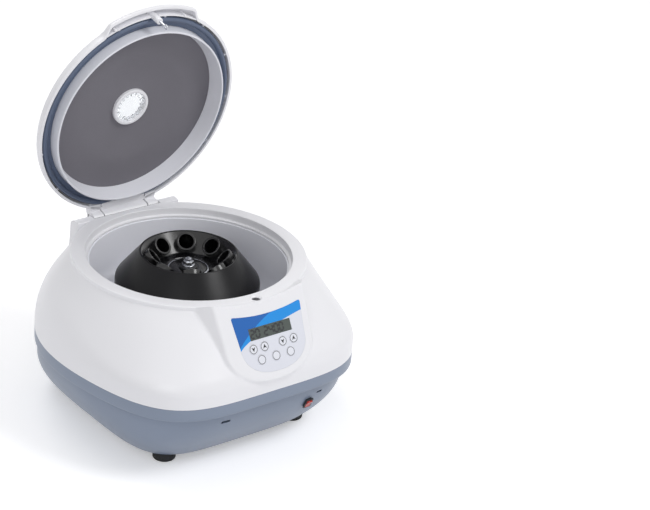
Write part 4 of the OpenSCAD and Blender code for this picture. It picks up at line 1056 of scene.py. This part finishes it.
def build_overlay_print():
    """The printed film: a grey field, a blue corner and a light blue band that crosses it."""
    material, tree, shader = new_material("panel_print")
    place = tree.nodes.new("ShaderNodeTexCoord").outputs["Object"]
    local = tree.nodes.new("ShaderNodeMapping")
    local.vector_type = "TEXTURE"
    local.inputs["Location"].default_value = (PANEL_X * MM, (PANEL_TOP_Y + SPINDLE_Y) * MM, RIM_Z * MM)
    local.inputs["Rotation"].default_value = (PANEL_TILT, 0, 0)
    tree.links.new(place, local.inputs["Vector"])
    split = tree.nodes.new("ShaderNodeSeparateXYZ")
    tree.links.new(local.outputs[0], split.inputs[0])
    x, y = split.outputs["X"], split.outputs["Y"]
    root = math_node(tree, "SQRT", math_node(tree, "MULTIPLY_ADD", x, 1000.0, 50.0))
    band = above(tree, y, math_node(tree, "MULTIPLY_ADD", root, 0.0036, -0.059))
    curve = math_node(tree, "MULTIPLY_ADD", x, -4.57, 0.4166)
    blue = above(tree, y, math_node(tree, "MULTIPLY_ADD", x, curve, -0.019))
    grain = noise(tree, place, 1800.0, 2.0)
    grey = mix_colour(tree, grain, srgb("d9dbe6"), srgb("e4e6ee"))
    printed = mix_colour(tree, band, grey, srgb("0c8de0"))
    printed = mix_colour(tree, blue, printed, srgb("0a5fb0"))
    tree.links.new(printed, shader.inputs["Base Color"])
    shader.inputs["Roughness"].default_value = 0.36
    bump(tree, shader, grain, 0.15, 0.0001)
    return material


def build_lcd_glass():
    material, tree, shader = new_material("lcd_glass")
    place = tree.nodes.new("ShaderNodeTexCoord").outputs["Object"]
    tint = mix_colour(tree, noise(tree, place, 40.0, 2.0), srgb("3d4642"), srgb("48514d"))
    tree.links.new(tint, shader.inputs["Base Color"])
    shader.inputs["Roughness"].default_value = 0.12
    shader.inputs["Coat Weight"].default_value = 0.4
    return material


PANEL_PRINT = build_overlay_print()
LCD_GLASS = build_lcd_glass()
SEGMENTS = {"0": "abcdef", "2": "abged", "4": "fgbc"}


def digit_bars(bm, text, x, y, w, h, t, matrix, lift):
    """Seven-segment figures made of thin bars with pointed ends."""
    for figure in text:
        spans = {
            "a": ((0, h), (w, h)), "g": ((0, h / 2), (w, h / 2)), "d": ((0, 0), (w, 0)),
            "f": ((0, h / 2), (0, h)), "b": ((w, h / 2), (w, h)), "e": ((0, 0), (0, h / 2)),
            "c": ((w, 0), (w, h / 2)),
        }
        for name in SEGMENTS[figure]:
            (ax, ay), (bx, by) = spans[name]
            a, b = Vector((x + ax, y + ay)), Vector((x + bx, y + by))
            way = (b - a).normalized()
            side = Vector((-way.y, way.x)) * t / 2
            a, b = a + way * 0.2, b - way * 0.2
            outline = [a, a + way * t / 2 + side, b - way * t / 2 + side, b, b - way * t / 2 - side,
                       a + way * t / 2 - side]
            plate(bm, [tuple(p) for p in outline], lift, lift + 0.04, matrix)
        x += w + 2.3


def film_outline(grow=0.0):
    """The film's outline: a shield with round upper corners and a hollow upper edge."""
    points = shield(49.5, 46, -11, -84, 5.5, grow)
    return rounded(points, [6.0 if i in (41, len(points) - 1) else 0 for i in range(len(points))], steps=6)


def build_film():
    bm = bmesh.new()
    plate(bm, film_outline(), -0.6, 0.02, PANEL)
    film = to_object(bm, "panel_film", PANEL_PRINT, "housing", "overlay", ["panel_overlay"])
    tools = bmesh.new()
    box(tools, (-29.8, LCD_V - 7.05, -3), (29.8, LCD_V + 7.05, 3), PANEL)
    for x, y in KEY_PLACES.values():
        rod(tools, PANEL @ Vector((x, y, -3)), PANEL @ Vector((x, y, 3)), KEY_R + 0.2, 48)
    cut(film, tools)
    tools = bmesh.new()
    plate(tools, film_outline(0.15), -0.7, 5, PANEL)
    box(tools, (-31.5, LCD_V - 8.7, -6), (31.5, LCD_V + 8.7, 3), PANEL)
    for x, y in KEY_PLACES.values():
        rod(tools, PANEL @ Vector((x, y, -6)), PANEL @ Vector((x, y, 3)), KEY_R + 0.5, 48)
    cut(upper_shell, tools)


build_film()


def build_display():
    bm = bmesh.new()
    box(bm, (-29.7, LCD_V - 6.95, -0.6), (29.7, LCD_V + 6.95, -0.12), PANEL)
    to_object(bm, "lcd_pane", LCD_GLASS, "housing", "lcd", ["display_window"])
    bm = bmesh.new()
    digit_bars(bm, "20", -27.6, LCD_V - 4.6, 5.0, 9.2, 1.9, PANEL, -0.11)
    digit_bars(bm, "2400", -8.4, LCD_V - 4.6, 5.0, 9.4, 1.9, PANEL, -0.11)
    to_object(bm, "lcd_figures", PRINT_DARK, "housing", "black_plastic")


build_display()


def build_keys():
    for name, (x, y) in KEY_PLACES.items():
        here = PANEL @ Matrix.Translation((x, y, 0))
        cap = [(0.01, -0.7), (KEY_R, -0.7), (KEY_R, 0.1)]
        cap += bend((KEY_R, 0.1), (KEY_R, 0.5), (KEY_R - 0.7, 0.5), 4)
        cap += [(3.2, 0.56), (0.01, 0.58)]
        spun("cap_" + name, cap, KEY_WHITE, "key_" + name, "key", ["key_" + name], steps=48, closed=False,
             turn=here)
        bm = bmesh.new()
        spin_profile(bm, [(KEY_R - 1.15, 0.44), (KEY_R - 0.55, 0.44), (KEY_R - 0.55, 0.56),
                          (KEY_R - 1.15, 0.58)], 48)
        if name.endswith(("down", "up")):
            flip = 1 if name.endswith("up") else -1
            mark = [(-2.5, -2.3), (0, 2.9), (2.5, -2.3), (0, -0.9)]
            plate(bm, [(px, flip * py) for px, py in mark], 0.5, 0.66)
        bmesh.ops.transform(bm, matrix=here, verts=bm.verts)
        to_object(bm, "mark_" + name, PRINT_DARK, "key_" + name, "key")


build_keys()


# ---------------------------------------------------------------- materials on the CAD nodes
NODE_MATERIALS = [
    (SHELL_WHITE, "upper_housing lid_shell hinge_cover viewport_collar striker_boss"),
    (SLATE, "lower_housing"),
    (BOWL_GREY, "chamber_bowl"),
    (SHEET, "base_plate motor_bracket"),
    (RUBBER, "foot_front_left foot_front_right foot_rear_left foot_rear_right motor_mounts "
             "spindle_seal"),
    (STEEL, "foot_nuts housing_screws motor_bearings lock_bolt hinge_pins striker_pin "
            "drive_spindle rotor_nut"),
    (MOTOR_GREY, "motor_body lock_solenoid"),
    (BOARD_GREEN, "drive_board control_board"),
    (PANEL_PRINT, "panel_overlay"),
    (DARK_PLASTIC_AND_SHADE, "display_window display_module switch_bezel lock_body rear_bezel power_inlet "
                   "fuse_drawer hinge_bushes rotor_washer"),
    (ROCKER_RED, "power_rocker"),
    (LINER_WHITE, "lid_liner"),
    (LID_DISC, "liner_disc"),
    (GASKET, "lid_gasket"),
    (CLEAR, "viewport_window"),
    (ROTOR_BLACK, "rotor_body"),
    (KEY_WHITE, " ".join("key_" + key for key in KEY_PLACES)),
    (SLEEVE_BLACK, " ".join(f"tube_sleeve_{i + 1}" for i in range(WELLS))),
]
for node_material, node_names in NODE_MATERIALS:
    for node_name in node_names.split():
        node = NODES[node_name]
        if not node.material_slots:
            node.data.materials.append(node_material)
        for entry in node.material_slots:
            entry.material = node_material


# ---------------------------------------------------------------- stage, lamps and camera
def seen_directly(tree):
    """1 for the rays that show the background: those of the camera, of gloss and of clear pieces."""
    path = tree.nodes.new("ShaderNodeLightPath")
    seen = math_node(tree, "MAXIMUM", path.outputs["Is Camera Ray"], path.outputs["Is Transmission Ray"])
    return math_node(tree, "MAXIMUM", seen, path.outputs["Is Glossy Ray"])


def build_stage():
    bm = bmesh.new()
    bmesh.ops.create_grid(bm, x_segments=1, y_segments=1, size=14)
    mesh = bpy.data.meshes.new("floor")
    bm.to_mesh(mesh)
    bm.free()
    floor = bpy.data.objects.new("floor", mesh)
    bpy.context.scene.collection.objects.link(floor)
    material, tree, shader = new_material("floor_paper")
    shader.inputs["Base Color"].default_value = srgb("f6f6f8")
    shader.inputs["Roughness"].default_value = 0.9
    shader.inputs["Emission Color"].default_value = (1, 1, 1, 1)
    tree.links.new(math_node(tree, "MULTIPLY", seen_directly(tree), 0.32),
                   shader.inputs["Emission Strength"])
    mesh.materials.append(material)


def area_lamp(name, place, target, size, power, colour=(1, 1, 1)):
    lamp = bpy.data.lights.new(name, "AREA")
    lamp.shape = "RECTANGLE"
    lamp.size, lamp.size_y = size
    lamp.energy = power
    lamp.color = colour
    obj = bpy.data.objects.new(name, lamp)
    bpy.context.scene.collection.objects.link(obj)
    way = Vector(target) - Vector(place)
    obj.matrix_world = Matrix.Translation(place) @ way.to_track_quat("-Z", "Y").to_matrix().to_4x4()
    return obj


def build_light():
    world = bpy.data.worlds.new("studio")
    bpy.context.scene.world = world
    world.use_nodes = True
    tree = world.node_tree
    background = tree.nodes["Background"]
    background.inputs["Color"].default_value = (1, 1, 1, 1)
    strength = math_node(tree, "MULTIPLY_ADD", seen_directly(tree), 0.55, 0.45)
    tree.links.new(strength, background.inputs["Strength"])
    area_lamp("key_light", (1.1, -1.6, 2.4), (0, 0, 0.15), (1.1, 1.1), 33)
    area_lamp("fill_light", (-1.8, -1.5, 1.5), (0, 0, 0.15), (1.4, 1.4), 12)
    area_lamp("rear_light", (-0.3, 1.2, 2.4), (0, 0, 0.2), (1.6, 0.8), 14)


def build_camera():
    azimuth, rise, roll, distance = -0.696, 0.456, 0.084, 3.011
    target = Vector((0.2111, SPINDLE_Y * MM, 0.1476))
    back = Vector((math.sin(azimuth) * math.cos(rise), -math.cos(azimuth) * math.cos(rise), math.sin(rise)))
    right = (-back).cross(Vector((0, 0, 1))).normalized()
    up = right.cross(-back)
    c, s = math.cos(roll), math.sin(roll)
    across, above = c * right + s * up, -s * right + c * up
    turn = Matrix((across, above, back)).transposed().to_4x4()
    lens = bpy.data.cameras.new("photo_camera")
    lens.sensor_width = 36
    lens.lens = 36 * 2400 / 650
    lens.clip_end = 50
    camera = bpy.data.objects.new("photo_camera", lens)
    bpy.context.scene.collection.objects.link(camera)
    camera.matrix_world = Matrix.Translation(target + back * distance) @ turn
    bpy.context.scene.camera = camera


build_stage()
build_light()
build_camera()
bpy.context.scene.view_settings.view_transform = "Standard"
